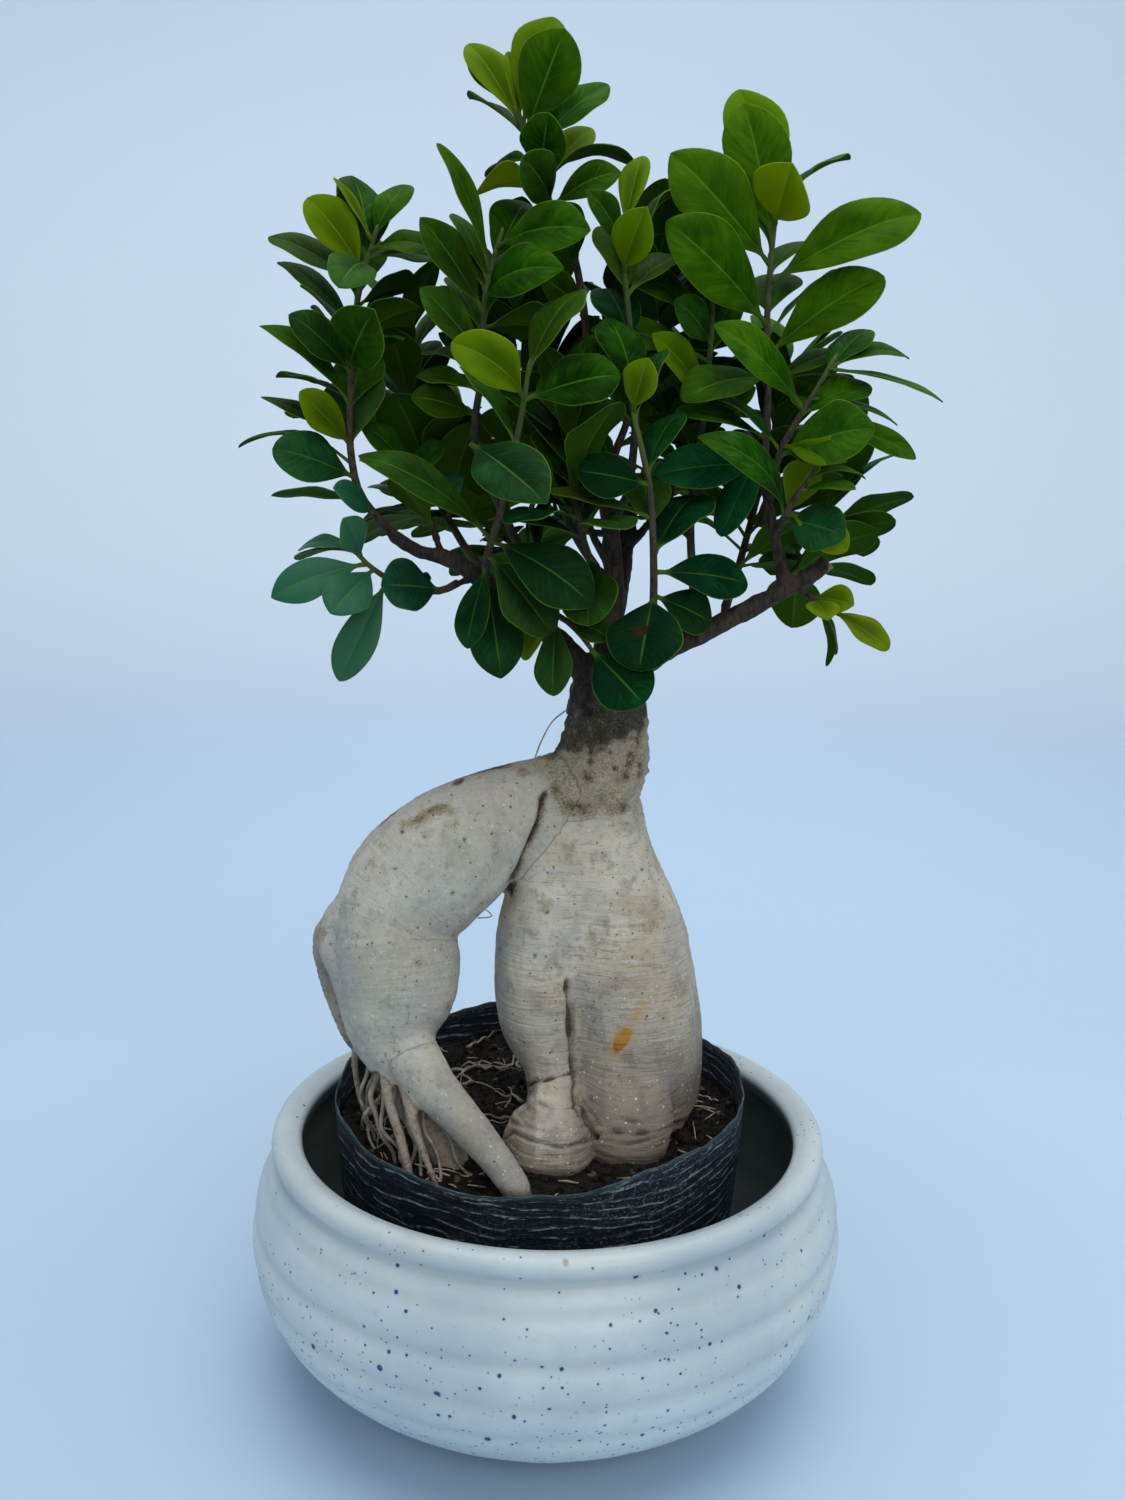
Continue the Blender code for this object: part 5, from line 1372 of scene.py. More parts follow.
def make_bag_look(material):
    """Thin film with a wavy torn-looking rim, standing folds and a slight lean outward."""
    angles = round_angles(BAG_FINE)
    circle = ring(angles, BAG_REACH, 0.0)
    edge = np.array([bag_edge(a) for a in angles]) + layers(circle, BAG_RAGGED)
    folds = layers(circle, BAG_FOLDS)
    wave = np.array([bag_wave(a) for a in angles])
    radii, heights = np.array(BAG_OUTER).T
    foot = BAG_OUTER[0][1]

    def wall(inset):
        rows = []
        for z in (foot, *np.linspace(12.0, BAG_LEVEL, 23)):
            reach = np.interp(z, heights, radii) - inset + folds * step_between(z, 20.0, BAG_LEVEL)
            rows.append((reach, z + 0.0 * angles, 0.0))
        base = np.interp(BAG_LEVEL + 4.0, heights, radii)
        for share in np.linspace(0.0, 1.0, 13)[1:]:
            reach = base - inset + folds + share ** 1.5 * (wave + 0.6 * folds)
            z = BAG_LEVEL + share * (edge - BAG_LEVEL)
            rows.append((reach, z, float(step_between(share, 0.86, 1.0))))
        return rows

    verts = []
    place = []
    for reach, z, rim in wall(0.0) + wall(BAG_FILM)[::-1]:
        verts.append(ring(angles, reach, z, BAG_AT))
        place.append(np.stack([angles * BAG_REACH * MM, z * MM, rim + 0.0 * angles], 1))
    faces = closed_wall(len(verts), BAG_FINE)
    verts = np.concatenate(verts + [[(*BAG_AT[:2], foot)], [(*BAG_AT[:2], foot + 0.7)]])
    bag = new_piece("bag", verts, faces, material, "grow_bag", "bag_film")
    set_attribute(bag.data, "bag_place", np.concatenate(place + [[(0.0, 0.0, 0.0)]] * 2))


def soil_level(points):
    """Height of the crumbly soil at points (n, 2)."""
    rough = layers(np.column_stack([points, np.zeros(len(points))]), SOIL_ROUGH)
    smooth = 1.1 * np.sin(0.09 * points[:, 0] + 1.0) * np.cos(0.07 * points[:, 1])
    smooth = smooth + 0.6 * np.sin(0.21 * points[:, 1])
    return SOIL_TOP + smooth + rough


def level_at(x, y):
    """Height of the soil at one point."""
    return float(soil_level(np.array([(x, y)]))[0])


def make_soil_look(material):
    """Crumbly top, with the sides and the underside that the bag hides."""
    angles = round_angles(SOIL_FINE)
    shares = np.linspace(0.0, 1.0, SOIL_RINGS + 1)[1:]
    rings = [ring(angles, SOIL_REACH * share, 0.0, BAG_AT) for share in shares]
    flat = np.concatenate([[tuple(BAG_AT)]] + rings)[:, :2]
    top = np.column_stack([flat, soil_level(flat)])
    low = [ring(angles, radius, height, BAG_AT) for radius, height in SOIL_SIDES]
    verts = np.concatenate([top] + low + [[(*BAG_AT[:2], SOIL_SIDES[-1][1])]])
    last = len(verts) - 1
    faces = cap_faces(0, 1, SOIL_FINE) + wall_faces(last // SOIL_FINE, SOIL_FINE, 1, flip=True)
    faces += cap_faces(last, last - SOIL_FINE, SOIL_FINE, flip=True)
    new_piece("soil", verts, faces, material, "potting_soil", "soil")


def lump(place, size, draw):
    """A small ragged crumb from a jittered octahedron."""
    spin = Matrix.Rotation(draw.uniform(0, TURN), 3, "Z") @ Matrix.Rotation(draw.uniform(0, TURN), 3, "X")
    corners = []
    for axis in ((1, 0, 0), (0, 1, 0), (-1, 0, 0), (0, -1, 0), (0, 0, 1), (0, 0, -1)):
        corners.append(spin @ (Vector(axis) * size * draw.uniform(0.6, 1.25)) + place)
    faces = [(0, 1, 4), (1, 2, 4), (2, 3, 4), (3, 0, 4), (1, 0, 5), (2, 1, 5), (3, 2, 5), (0, 3, 5)]
    return corners, faces


def make_crumbs(material):
    """Loose crumbs over the soil."""
    draw = random.Random(CRUMB_SEED)
    parts = []
    while len(parts) < CRUMBS:
        angle = draw.uniform(0, TURN)
        reach = BAG_REACH * math.sqrt(draw.random())
        x = BAG_AT.x + reach * math.cos(angle)
        y = BAG_AT.y + reach * math.sin(angle)
        size = draw.uniform(0.6, 1.1) if draw.random() < 0.8 else draw.uniform(1.2, 2.2)
        parts.append(lump(Vector((x, y, level_at(x, y) + size * 0.3)), size, draw))
    new_piece("soil_crumbs", *joined(parts), material, None, "soil", smooth=False)


def curl(start, heading, length, radius, bend, draw):
    """A wandering thread from start that keeps to the soil's level."""
    steps = max(5, int(length / 2.2))
    place = Vector(start)
    line = []
    turn = draw.uniform(-bend, bend)
    for k in range(steps + 1):
        line.append((*place, radius * (1.0 - 0.6 * k / steps)))
        turn = 0.9 * turn + draw.uniform(-bend, bend) * 0.3
        heading += turn
        place = place + Vector((math.cos(heading), math.sin(heading), 0.0)) * (length / steps)
        hop = 1.3 * abs(math.sin(0.9 * k + turn * 3.0)) ** 2
        place.z = level_at(place.x, place.y) + radius * 0.6 + hop
    return round_tube(line, 6)


def in_bag(x, y, room):
    """Whether a point lies inside the bag with some room to its film."""
    return math.hypot(x - BAG_AT.x, y - BAG_AT.y) < BAG_REACH - room


def make_threads(pale, straw):
    """Curled loose rootlets, the hair roots on the bark, rootlets under the arm and dry straw."""
    draw = random.Random(THREAD_SEED)
    curls = []
    for (x, y, spread, count, length) in CURL_BEDS:
        for _ in range(count):
            start = (x + draw.gauss(0, spread), y + draw.gauss(0, spread))
            if in_bag(*start, 12.0):
                curls.append(curl((*start, level_at(*start) + 0.5), draw.uniform(0, TURN),
                                  length * draw.uniform(0.5, 1.2), draw.uniform(0.45, 1.05), 0.42, draw))
    for path, radius in HAIR_ROOTS:
        curls.append(round_tube(smooth_path([(*seen_at(*p), radius) for p in path], 2.0), 5))
    for *path, radius in ARM_ROOTLETS:
        last = len(path) - 1
        line = smooth_path([(*spot, radius * (1.0 - 0.45 * k / last)) for k, spot in enumerate(path)], 2.5)
        wave = draw.uniform(0.0, TURN)
        line = [(x + 0.7 * math.sin(0.9 * k + wave), y + 0.7 * math.cos(0.8 * k + wave), z, r)
                for k, (x, y, z, r) in enumerate(line)]
        curls.append(round_tube(line, 8))
    new_piece("loose_rootlets", *joined(curls), pale, None, "root_bark")
    bits = []
    for (x, y, spread, count) in STRAW_BEDS:
        for _ in range(count):
            spot = (x + draw.gauss(0, spread), y + draw.gauss(0, spread))
            if not in_bag(*spot, 6.0):
                continue
            heading = draw.uniform(0, TURN)
            rise = draw.uniform(-0.1, 0.5)
            length = draw.uniform(5.0, 14.0)
            way = Vector((math.cos(heading), math.sin(heading), rise)).normalized()
            foot = Vector((*spot, level_at(*spot) + 0.2))
            far = foot + way * length
            if not in_bag(far.x, far.y, 2.5):
                continue
            middle = (foot + far) * 0.5 + Vector((0, 0, draw.uniform(0.0, 0.8)))
            width = draw.uniform(0.3, 0.55)
            bits.append(tube([(*foot, width, 0.2), (*middle, width, 0.22), (*far, width * 0.6, 0.15)], 5))
    new_piece("straw_bits", *joined(bits), straw, None, "soil")


def limb_places(points):
    """Place along and round the bark, whether it is the arm's, and the number of its limb."""
    best = np.full(len(points), 1e9)
    along = np.zeros(len(points))
    around = np.zeros(len(points))
    owner = np.zeros(len(points))
    for number, limb in enumerate(ROOT_LIMBS):
        if number == KNOB_LIMB:
            continue
        stations = np.array([s[:5] for s in smooth_path(limb, 4.0)])
        centres = stations[:, :3]
        runs = np.concatenate([[0.0], np.cumsum(np.linalg.norm(np.diff(centres, axis=0), axis=1))])
        for k in range(len(centres)):
            ahead = centres[min(k + 1, len(centres) - 1)] - centres[max(k - 1, 0)]
            ahead /= np.linalg.norm(ahead)
            offset = points - centres[k]
            lift = offset @ ahead
            side = offset - lift[:, None] * ahead
            mean = 0.5 * (stations[k, 3] + stations[k, 4])
            reach = np.linalg.norm(offset, axis=1) - mean
            near = reach < best
            cross = np.cross(ahead, (0.0, 1.0, 0.0))
            cross /= np.linalg.norm(cross)
            angle = np.arctan2(side @ cross, side @ np.cross(ahead, cross)) * mean
            best[near] = reach[near]
            along[near] = (runs[k] + lift + 37.0 * number)[near]
            around[near] = angle[near]
            owner[near] = number
    level = owner <= LEVEL_LIMBS
    along = np.where(level, 300.0 - points[:, 2], along)
    around = np.where(level, points[:, 0] + 0.8 * points[:, 1], around)
    arm = (owner > LEVEL_LIMBS) & (owner < THIN_LIMBS)
    return np.stack([along * MM, around * MM, arm], 1), owner


def evened(mesh, points, share, rounds):
    """The skin's points with its lumps and hollows taken out where share is above zero."""
    edges = np.empty(len(mesh.edges) * 2, dtype=np.int64)
    mesh.edges.foreach_get("vertices", edges)
    a, b = edges.reshape(-1, 2).T
    share = np.where(share > 0.02, share, 0.0)
    used = np.maximum(share[a], share[b]) > 0.0
    a = a[used]
    b = b[used]
    count = np.maximum(np.bincount(np.concatenate([a, b]), minlength=len(points)), 1)[:, None]
    weight = 0.5 * share[:, None]
    even = points.copy()
    for _ in range(rounds):
        total = np.zeros_like(even)
        for axis in range(3):
            total[:, axis] = (np.bincount(a, even[b, axis], len(points))
                              + np.bincount(b, even[a, axis], len(points)))
        even += weight * (total / count - even)
    return even


def distance_to_line(flat, line):
    """Distance of each seen point (n, 2) to a line of seen points."""
    best = np.full(len(flat), 1e9)
    for a, b in zip(line, line[1:]):
        a = np.array(a, dtype=float)
        step = np.array(b, dtype=float) - a
        share = np.clip((flat - a) @ step / (step @ step), 0.0, 1.0)
        best = np.minimum(best, np.linalg.norm(flat - a - share[:, None] * step, axis=1))
    return best


def side_of_line(flat, line):
    """Distance to a line of seen points, and how far a point lies to the right of it."""
    heights = np.array([z for _, z in reversed(line)])
    reach = np.array([x for x, _ in reversed(line)])
    return distance_to_line(flat, line), flat[:, 0] - np.interp(flat[:, 1], heights, reach)


def seen_flat(points):
    """Where points are seen against the middle plane: x and z."""
    share = -VIEW.y / (points[:, 1] - VIEW.y)
    x = VIEW.x + (points[:, 0] - VIEW.x) * share
    z = VIEW.z + (points[:, 2] - VIEW.z) * share
    return np.stack([x, z], 1)


def remeshed(name, parts, voxel, rounds):
    """One smooth skin round closed parts that cross each other."""
    verts, faces = joined(parts)
    rough = new_mesh(name, [tuple(Vector(v) * MM) for v in verts], faces)
    item = linked(name, rough)
    grow = item.modifiers.new("grow", "REMESH")
    grow.mode = "VOXEL"
    grow.voxel_size = voxel * MM
    soften = item.modifiers.new("soften", "SMOOTH")
    soften.factor = 0.5
    soften.iterations = rounds
    graph = bpy.context.evaluated_depsgraph_get()
    mesh = bpy.data.meshes.new_from_object(item.evaluated_get(graph))
    bpy.data.objects.remove(item)
    bpy.data.meshes.remove(rough)
    keep_largest(mesh)
    for polygon in mesh.polygons:
        polygon.use_smooth = True
    return mesh


def seen_folds(flat, lean):
    """How far the folds that the front shows move the bark, and how much painted shade darkens them."""
    move = np.zeros(len(flat))
    shade_and_stain = np.zeros(len(flat))
    for line, depth, width, share in ROOT_FOLDS:
        gap = distance_to_line(flat, line) + lean * min(1.0, width)
        dent = np.exp(-(gap / width) ** 2)
        rise = np.exp(-((gap - 2.6 * width) / (1.4 * width)) ** 2)
        move += depth * (0.30 * rise - dent)
        shade_and_stain = np.maximum(shade_and_stain, share * dent)
    return move, shade_and_stain


def seen_dots(flat):
    """How far the dark spots that the front shows sink into the bark, and how they stain it."""
    sink = np.zeros(len(flat))
    shade_and_stain = np.zeros(len(flat))
    for x, z, size, depth in ROOT_DOTS:
        near = np.exp(-(np.linalg.norm(flat - np.array((x, z)), axis=1) / size) ** 2)
        sink += depth * near
        shade_and_stain = np.maximum(shade_and_stain, 0.9 * near)
    return sink, shade_and_stain


def pits_of(points):
    """Small round pits all over the bark."""
    pits = np.zeros(len(points))
    draw = random.Random(PIT_SEED)
    for _ in range(ROOT_PITS):
        centre = points[draw.randrange(len(points))]
        size = draw.uniform(0.5, 1.1)
        near = np.exp(-(np.linalg.norm(points - centre, axis=1) / size) ** 2)
        pits = np.maximum(pits, near * draw.uniform(0.3, 0.8))
    return pits


def low_shade_and_tone(points):
    """Where the bark is painted darker towards the soil, part painted shade and part its own darker tone: the
    feet, the right lobe and the arm's foot.
    """
    height = points[:, 2] + 5.0 * lattice_noise(points, 14.0, 49)
    right = step_between(points[:, 0], -8.0, 22.0)
    arm_foot = (points[:, 2] < 165.0) & (points[:, 0] < -5.0)
    low = np.maximum(step_between(-height, -119.0, -112.0),
                     0.92 * step_between(-height, -172.0, -126.0) * right)
    return np.maximum(low, 0.45 * arm_foot * step_between(-height, -160.0, -130.0))


def moss_of(points, crown, edge):
    """Moss and wear: on the crown and the neck, on the arm's top and beside its edge."""
    x, _, z = points.T
    patch = step_between(lattice_noise(points, 7.0, 50), 0.0, 0.7)
    arm_top = step_between(z - 0.45 * x, 272.0, 288.0) * (x < -6.0)
    neck = z - 0.5 * np.clip(x - 20.0, -6.0, 40.0) + 3.0 * lattice_noise(points, 4.0, 54)
    return np.max([
        crown * (0.32 + 0.38 * patch),
        0.75 * arm_top * patch,
        0.8 * edge,
        0.20 * step_between(lattice_noise(points, 11.0, 51), 0.3, 0.9),
        (0.85 + 0.3 * patch) * step_between(neck, 279.0, 289.0),
    ], axis=0)


def ochre_of(points, flat):
    """Warm patches of the bark, the surest of them on the right lobe."""
    patch = np.exp(-(np.linalg.norm((flat - OCHRE_AT) * (1.0, 0.45), axis=1) / 15.0) ** 2)
    return np.maximum(step_between(lattice_noise(points, 30.0, 52), 0.15, 0.8), patch)


def wound_of(flat):
    """The amber wound and its run."""
    wound = np.zeros(len(flat))
    way = np.array((math.cos(WOUND_LEAN), math.sin(WOUND_LEAN)))
    for x, z, far, wide, share in WOUNDS:
        away = flat - np.array((x, z))
        gap = np.hypot(away @ way / far, (away[:, 0] * way[1] - away[:, 1] * way[0]) / wide)
        wound = np.maximum(wound, share * np.exp(-gap ** 2))
    return wound


def make_root_look(material):
    """The root's limbs as one skin with folds, rings, pits and a rough crown."""
    fills = [tube([tuple(s) for s in smooth_path(path, LIMB_STEP)], LIMB_SIDES) for path in ROOT_FILLS]
    mesh = remeshed("root_skin", root_parts(0.0) + fills, ROOT_VOXEL, ROOT_SOFTEN)
    points = vertex_values(mesh, "co") / MM
    view = np.array(VIEW) - points
    view /= np.linalg.norm(view, axis=1)[:, None]
    front = step_between((vertex_values(mesh, "normal") * view).sum(1), 0.02, 0.30)
    flat = seen_flat(points)
    place, owner = limb_places(points)
    thin = np.where(owner > THIN_LIMBS, 0.8, 0.45 * (owner == THIN_LIMBS))

    edge_gap, past = side_of_line(flat, ARM_EDGE)
    span = step_between(flat[:, 1], 205.0, 213.0) * step_between(-flat[:, 1], -282.0, -270.0)
    beside = step_between(past, 0.0, 2.0) * span * step_between(-edge_gap, -17.0, -12.0)
    points = evened(mesh, points, beside * front, ARM_EVEN_ROUNDS)
    spots = np.zeros(len(points))
    for x, z, far, high in EVEN_SPOTS:
        spots = np.maximum(spots, np.exp(-((flat[:, 0] - x) / far) ** 4 - ((flat[:, 1] - z) / high) ** 4))
    points = evened(mesh, points, spots * front, EVEN_ROUNDS)
    set_points(mesh, points)
    normals = vertex_values(mesh, "normal")

    # Painted shade: the hollows of the skin are darkened.
    hollow = ((evened(mesh, points, np.ones(len(points)), 60) - points) * normals).sum(1)
    painted_shade_and_dirt = 0.85 * step_between(hollow, 0.25, 1.6)
    rings = place[:, 0] / MM + 1.5 * lattice_noise(points, 18.0, 43)
    ring_share = step_between(lattice_noise(points, 22.0, 44), -0.25, 0.5)
    move = layers(points, ROOT_RELIEF) + 0.13 * np.sin(rings * 1.9) * ring_share
    move += 0.16 * lattice_noise(points * (0.45, 0.45, 1.0), 2.4, 53)
    lean = 0.9 * lattice_noise(points, 5.0, 45)
    # The folds carry painted shade along their creases.
    folds, shade_and_stain = seen_folds(flat, lean)
    move += folds * front
    painted_shade_and_dirt = np.maximum(painted_shade_and_dirt, shade_and_stain * front)

    gap = edge_gap + 0.5 * lean
    beyond = past > 0.0
    fall = np.where(beyond, np.exp(-np.maximum(gap, 0.0) / ARM_EDGE_REACH), np.exp(-(gap / 1.3) ** 2))
    lip = 0.9 * np.exp(-((gap - 4.0) / 3.0) ** 2) * (1.0 - beyond)
    ends = step_between(flat[:, 1], 207.0, 216.0) * step_between(-flat[:, 1], -267.0, -259.0) * front
    move += ends * (lip - ARM_EDGE_DEPTH * fall)
    # Painted shadow along the crease where the arm overlaps the body.
    painted_shade_and_dirt = np.maximum(painted_shade_and_dirt, ends * np.exp(-(gap / 1.2) ** 2))

    crown = step_between(points[:, 2] + 6.0 * lattice_noise(points, 9.0, 46), 245.0, 266.0)
    crown *= step_between(points[:, 0] + 0.6 * (points[:, 2] - 270.0), -12.0, 2.0)
    move += crown * layers(points, CROWN_RELIEF)
    move = np.where(points[:, 2] > ROOT_NECK, np.minimum(move, 0.4), move)
    pits = pits_of(points)
    sink, shade_and_stain = seen_dots(flat)
    painted_shade_and_dirt = np.max([painted_shade_and_dirt, 0.8 * pits, shade_and_stain * front], axis=0)
    points = points + normals * (move - 0.5 * pits - sink * front)[:, None]
    set_points(mesh, points)

    edge = np.exp(-(gap / 2.2) ** 2) * ends * step_between(flat[:, 1], 222.0, 245.0)
    moss = moss_of(points, crown, edge)
    as_piece("root", mesh, material, "ginseng_root")
    set_attribute(mesh, "bark_place", place)
    set_attribute(mesh, "bark_mask", np.stack([np.clip(painted_shade_and_dirt, 0, 1), np.clip(moss, 0, 1.3),
                                               ochre_of(points, flat)], 1))
    set_attribute(mesh, "bark_mark", np.stack([wound_of(flat) * front, low_shade_and_tone(points), thin], 1))


def make_wood_look(lines, material):
    """Rough bark over the grafted limbs, with spurs that reach the leafy stems."""
    parts = []
    for name, limb in WOOD_LIMBS.items():
        slim = WOOD_SLIM[name]
        stations = [(*s[:3], s[3] * slim) for s in smooth_path(limb, 6.0)]
        if name == "trunk":
            stations = [GRAFT_FOOT] + stations
        parts.append(round_tube(stations, 14))
    for line in lines.values():
        foot, end = line["spur"]
        way = (Vector(end[:3]) - Vector(foot[:3])).normalized() * 1.6
        thick = end[3] * TWIG_SLIM
        beyond = Vector(end[:3]) + way
        parts.append(round_tube([(*foot[:3], thick * 1.15), (*end[:3], thick), (*beyond, thick * 0.95)], 8))
    mesh = remeshed("wood_skin", parts, WOOD_VOXEL, WOOD_SOFTEN)
    points = vertex_values(mesh, "co") / MM
    normals = vertex_values(mesh, "normal")
    low = step_between(-points[:, 2], -330.0, -305.0)
    move = layers(points, WOOD_RELIEF) + low * (0.8 * lattice_noise(points, 5.0, 63))
    move = np.where(points[:, 2] < 297.0, -1.0, move)
    set_points(mesh, points + normals * move[:, None])
    end = Vector(WOOD_LIMBS["right"][-1][:3])
    gap = np.linalg.norm(points - np.array(end), axis=1)
    cut = step_between(-gap, -5.5, -4.0) * step_between(points[:, 0], end.x - 1.0, end.x)
    as_piece("wood", mesh, material, "scion_wood")
    set_attribute(mesh, "twig_place", np.stack([0.0 * cut, cut, 0.0 * cut], 1))


def blade_half(along, width, pointed):
    """Half width in millimetres along the blade, a thin stalk first; pointed narrows the tip."""
    share = np.clip((along - STALK) / (1.0 - STALK), 0.0, 1.0)
    swell = np.sin(np.pi * share ** 1.38)
    blade = 0.52 * width * np.clip(swell, 0.0, 1.0) ** (0.70 - 0.24 * share + pointed * share ** 3)
    stalk = np.interp(along, (0.0, STALK, 0.3, 0.9, 1.0), (1.15, 0.8, 0.5, 0.3, 0.12))
    return np.maximum(blade, stalk)


def fine_leaf(root, tip, normal, width, bow, kind, draw):
    """Points and marks of a blade that keeps to the plain one's place and size."""
    along, up, across = (np.array(v) for v in leaf_frame(root, tip, normal))
    length = (tip - root).length
    fold = LEAF_FOLDS[kind] or PLAIN_FOLD
    t = LEAF_ALONG[:, None] * np.ones_like(LEAF_ACROSS)[None, :]
    s = LEAF_ACROSS[None, :] * np.ones_like(LEAF_ALONG)[:, None]
    half = blade_half(t, width, draw.uniform(0.0, 0.36))
    blade = step_between(t, STALK, STALK + 0.12)
    uneven = draw.uniform(0.0, TURN)
    half = half * (1.0 + 0.035 * blade * np.sin(TURN * 1.6 * t + uneven) * np.where(s > 0, 1.0, -1.0))
    side = np.abs(s)
    z = bow * length * 4.0 * t * (1.0 - t)
    z = z + half * blade * (fold * (1.1 - 0.35 * t) * side + draw.uniform(0.04, 0.09) * np.sin(np.pi * side))
    z = z - half * blade * draw.uniform(0.02, 0.09) * side ** 4
    ripple = draw.uniform(0.03, 0.095)
    for sign in (1.0, -1.0):
        phase = draw.uniform(0.0, TURN)
        pace = draw.uniform(1.2, 2.4)
        wave = half * blade * ripple * side ** 2 * np.sin(TURN * pace * t + phase)
        z = z + np.where(s * sign > 0, wave, 0.0)
    z = z - length * draw.uniform(0.0, 0.035) * np.clip((t - 0.72) / 0.28, 0.0, 1.0) ** 2
    lean = length * draw.uniform(-0.02, 0.02) * 4.0 * t * (1.0 - t)
    twist = draw.uniform(-0.05, 0.05)
    z = z + twist * s * half * blade
    rib = np.exp(-(s * half / 0.55) ** 2) * blade * (1.0 - 0.7 * t)
    thick = np.where(t < STALK + 0.12, 1.5 - blade * 1.05, 0.45) * (1.0 - 0.35 * side ** 3)
    top = z + 0.5 * thick - 0.28 * rib
    low = z - 0.5 * thick - 0.45 * rib
    start = np.array(root)
    base = start + along * (length * t)[..., None] + across * (s * half + lean)[..., None]
    verts = np.concatenate([(base + up * z[..., None]).reshape(-1, 3) for z in (top, low)])
    count = t.size
    place = np.stack([np.tile(t.ravel(), 2), np.tile(s.ravel(), 2), np.repeat([1.0, 0.0], count)], 1)
    petiole = np.tile((1.0 - step_between(t, STALK * 0.7, STALK + 0.10)).ravel(), 2)
    return verts, place, petiole


def leaf_faces():
    """Faces of one leaf: upper side, underside and rim."""
    rows = len(LEAF_ALONG)
    cols = len(LEAF_ACROSS)
    count = rows * cols
    faces = []
    for r in range(rows - 1):
        for c in range(cols - 1):
            a = r * cols + c
            faces.append((a, a + 1, a + cols + 1, a + cols))
            faces.append((count + a, count + a + cols, count + a + cols + 1, count + a + 1))
    rim = [r * cols + cols - 1 for r in range(rows)]
    rim += [(rows - 1) * cols + c for c in range(cols - 2, -1, -1)]
    rim += [r * cols for r in range(rows - 2, -1, -1)]
    rim += list(range(1, cols - 1))
    for here, after in zip(rim, rim[1:] + rim[:1]):
        faces.append((here, count + here, count + after, after))
    return np.array(faces)


def twig_tube(stations):
    """Stem with faint swellings and a pointed bud, and its age from the foot (0) to the tip (1)."""
    stem = [(*s[:3], s[3] * TWIG_SLIM) for s in smooth_path(stations[:-1], 5.0)]
    tip = Vector(stations[-1][:3])
    bud = Vector(stem[-1][:3])
    first = Vector(stem[0][:3])
    back = (first - Vector(stem[1][:3])).normalized() * 1.2
    stem[0] = (*(first + back), stem[0][3] * 1.05)
    for share, radius in ((0.1, 0.95), (0.3, 1.05), (0.5, 0.75), (0.7, 0.25)):
        stem.append((*bud.lerp(tip, share), radius))
    verts, faces = round_tube(stem, TWIG_SIDES)
    age = np.repeat(np.linspace(0.0, 1.0, len(stem)), TWIG_SIDES)
    return verts, faces, age


def leaf_tint(kind, root, tip, draw):
    """How young a leaf is; its painted light and shade, lighter high up and on the sunny right and darker low
    down; and its hue, with a painted bluish sheen on the low leaves at the left.
    """
    height = 0.5 * (root.z + tip.z)
    # Painted light and shade: leaves high up and on the sunny right are lighter, low ones darker.
    lift = float(step_between(height, 400.0, 540.0))
    sunny = float(step_between(root.x, 50.0, 88.0))
    youth = LEAF_YOUTH[kind] + draw.uniform(-0.06, 0.12)
    youth = min(1.0, max(0.0, youth + 0.07 * lift + 0.10 * lift * sunny))
    shade = max(0.0, 0.08 + 0.22 * lift + 0.40 * sunny + draw.uniform(-0.15, 0.36))
    hue_and_sheen = LEAF_HUES[kind] + draw.uniform(-0.3, 0.3)
    # Painted sheen: the low leaves at the left are lighter and bluish, for the sky they reflect.
    cool = float(step_between(-root.x, 35.0, 70.0) * step_between(-height, -420.0, -375.0))
    shade -= 0.25 * float(step_between(-height, -385.0, -345.0))
    shade = max(0.0, min(1.0, shade) + 0.7 * cool)
    hue_and_sheen += 0.2 * float(step_between(-root.x, 20.0, 70.0))
    hue_and_sheen += 0.3 * float(step_between(-height, -430.0, -385.0))
    return youth, shade, max(0.0, min(0.95, hue_and_sheen) + 0.65 * cool)


def make_foliage(lines, leaves, leaf_material, twig_material):
    """One piece for each leafy stem: the stem with its bud, and all its leaves."""
    plan = leaf_faces()
    draw = random.Random(LEAF_SEED)
    for name, line in lines.items():
        verts, faces, age = twig_tube(line["stations"])
        if name in SIDE_TWIGS:
            side = [(*seen_at(*spot), 1.5 - 0.25 * k) for k, spot in enumerate(SIDE_TWIGS[name])]
            twig = round_tube(smooth_path(side, 5.0), TWIG_SIDES)
            verts, faces = joined([(verts, faces), twig])
            age = np.concatenate([age, np.linspace(0.2, 0.8, len(twig[0]))])
        twig_count = len(faces)
        total = len(verts)
        all_verts = [np.array([tuple(v) for v in verts])]
        marks = {what: [np.zeros((total, 3))] for what in ("leaf_place", "leaf_tint", "leaf_mark")}
        marks["twig_place"] = [np.stack([age, age * 0.0, age * 0.0], 1)]
        for number, leaf in enumerate(leaves[name]):
            points, place, petiole = fine_leaf(*leaf, draw)
            tint = leaf_tint(leaf[-1], leaf[0], leaf[1], draw)
            seed = draw.random()
            bite = 0.0 * petiole
            if (name, number) in BITTEN:
                gap = np.hypot((place[:, 0] - 0.55) / 0.16, (place[:, 1] - 0.15) / 0.34)
                bite = np.exp(-gap ** 2)
            all_verts.append(points)
            marks["leaf_place"].append(place)
            marks["leaf_tint"].append(np.tile(tint, (len(points), 1)))
            marks["leaf_mark"].append(np.stack([petiole, bite, seed + 0.0 * petiole], 1))
            marks["twig_place"].append(np.tile((1.0, 0.0, 0.0), (len(points), 1)))
            faces += [tuple(face) for face in (plan + total).tolist()]
            total += len(points)
        piece = new_piece("stem_" + name, np.concatenate(all_verts), faces, leaf_material,
                          "leafy_stem_" + name, "foliage")
        piece.data.materials.append(twig_material)
        for polygon in piece.data.polygons[:twig_count]:
            polygon.material_index = 1
        for what, values in marks.items():
            set_attribute(piece.data, what, np.concatenate(values))


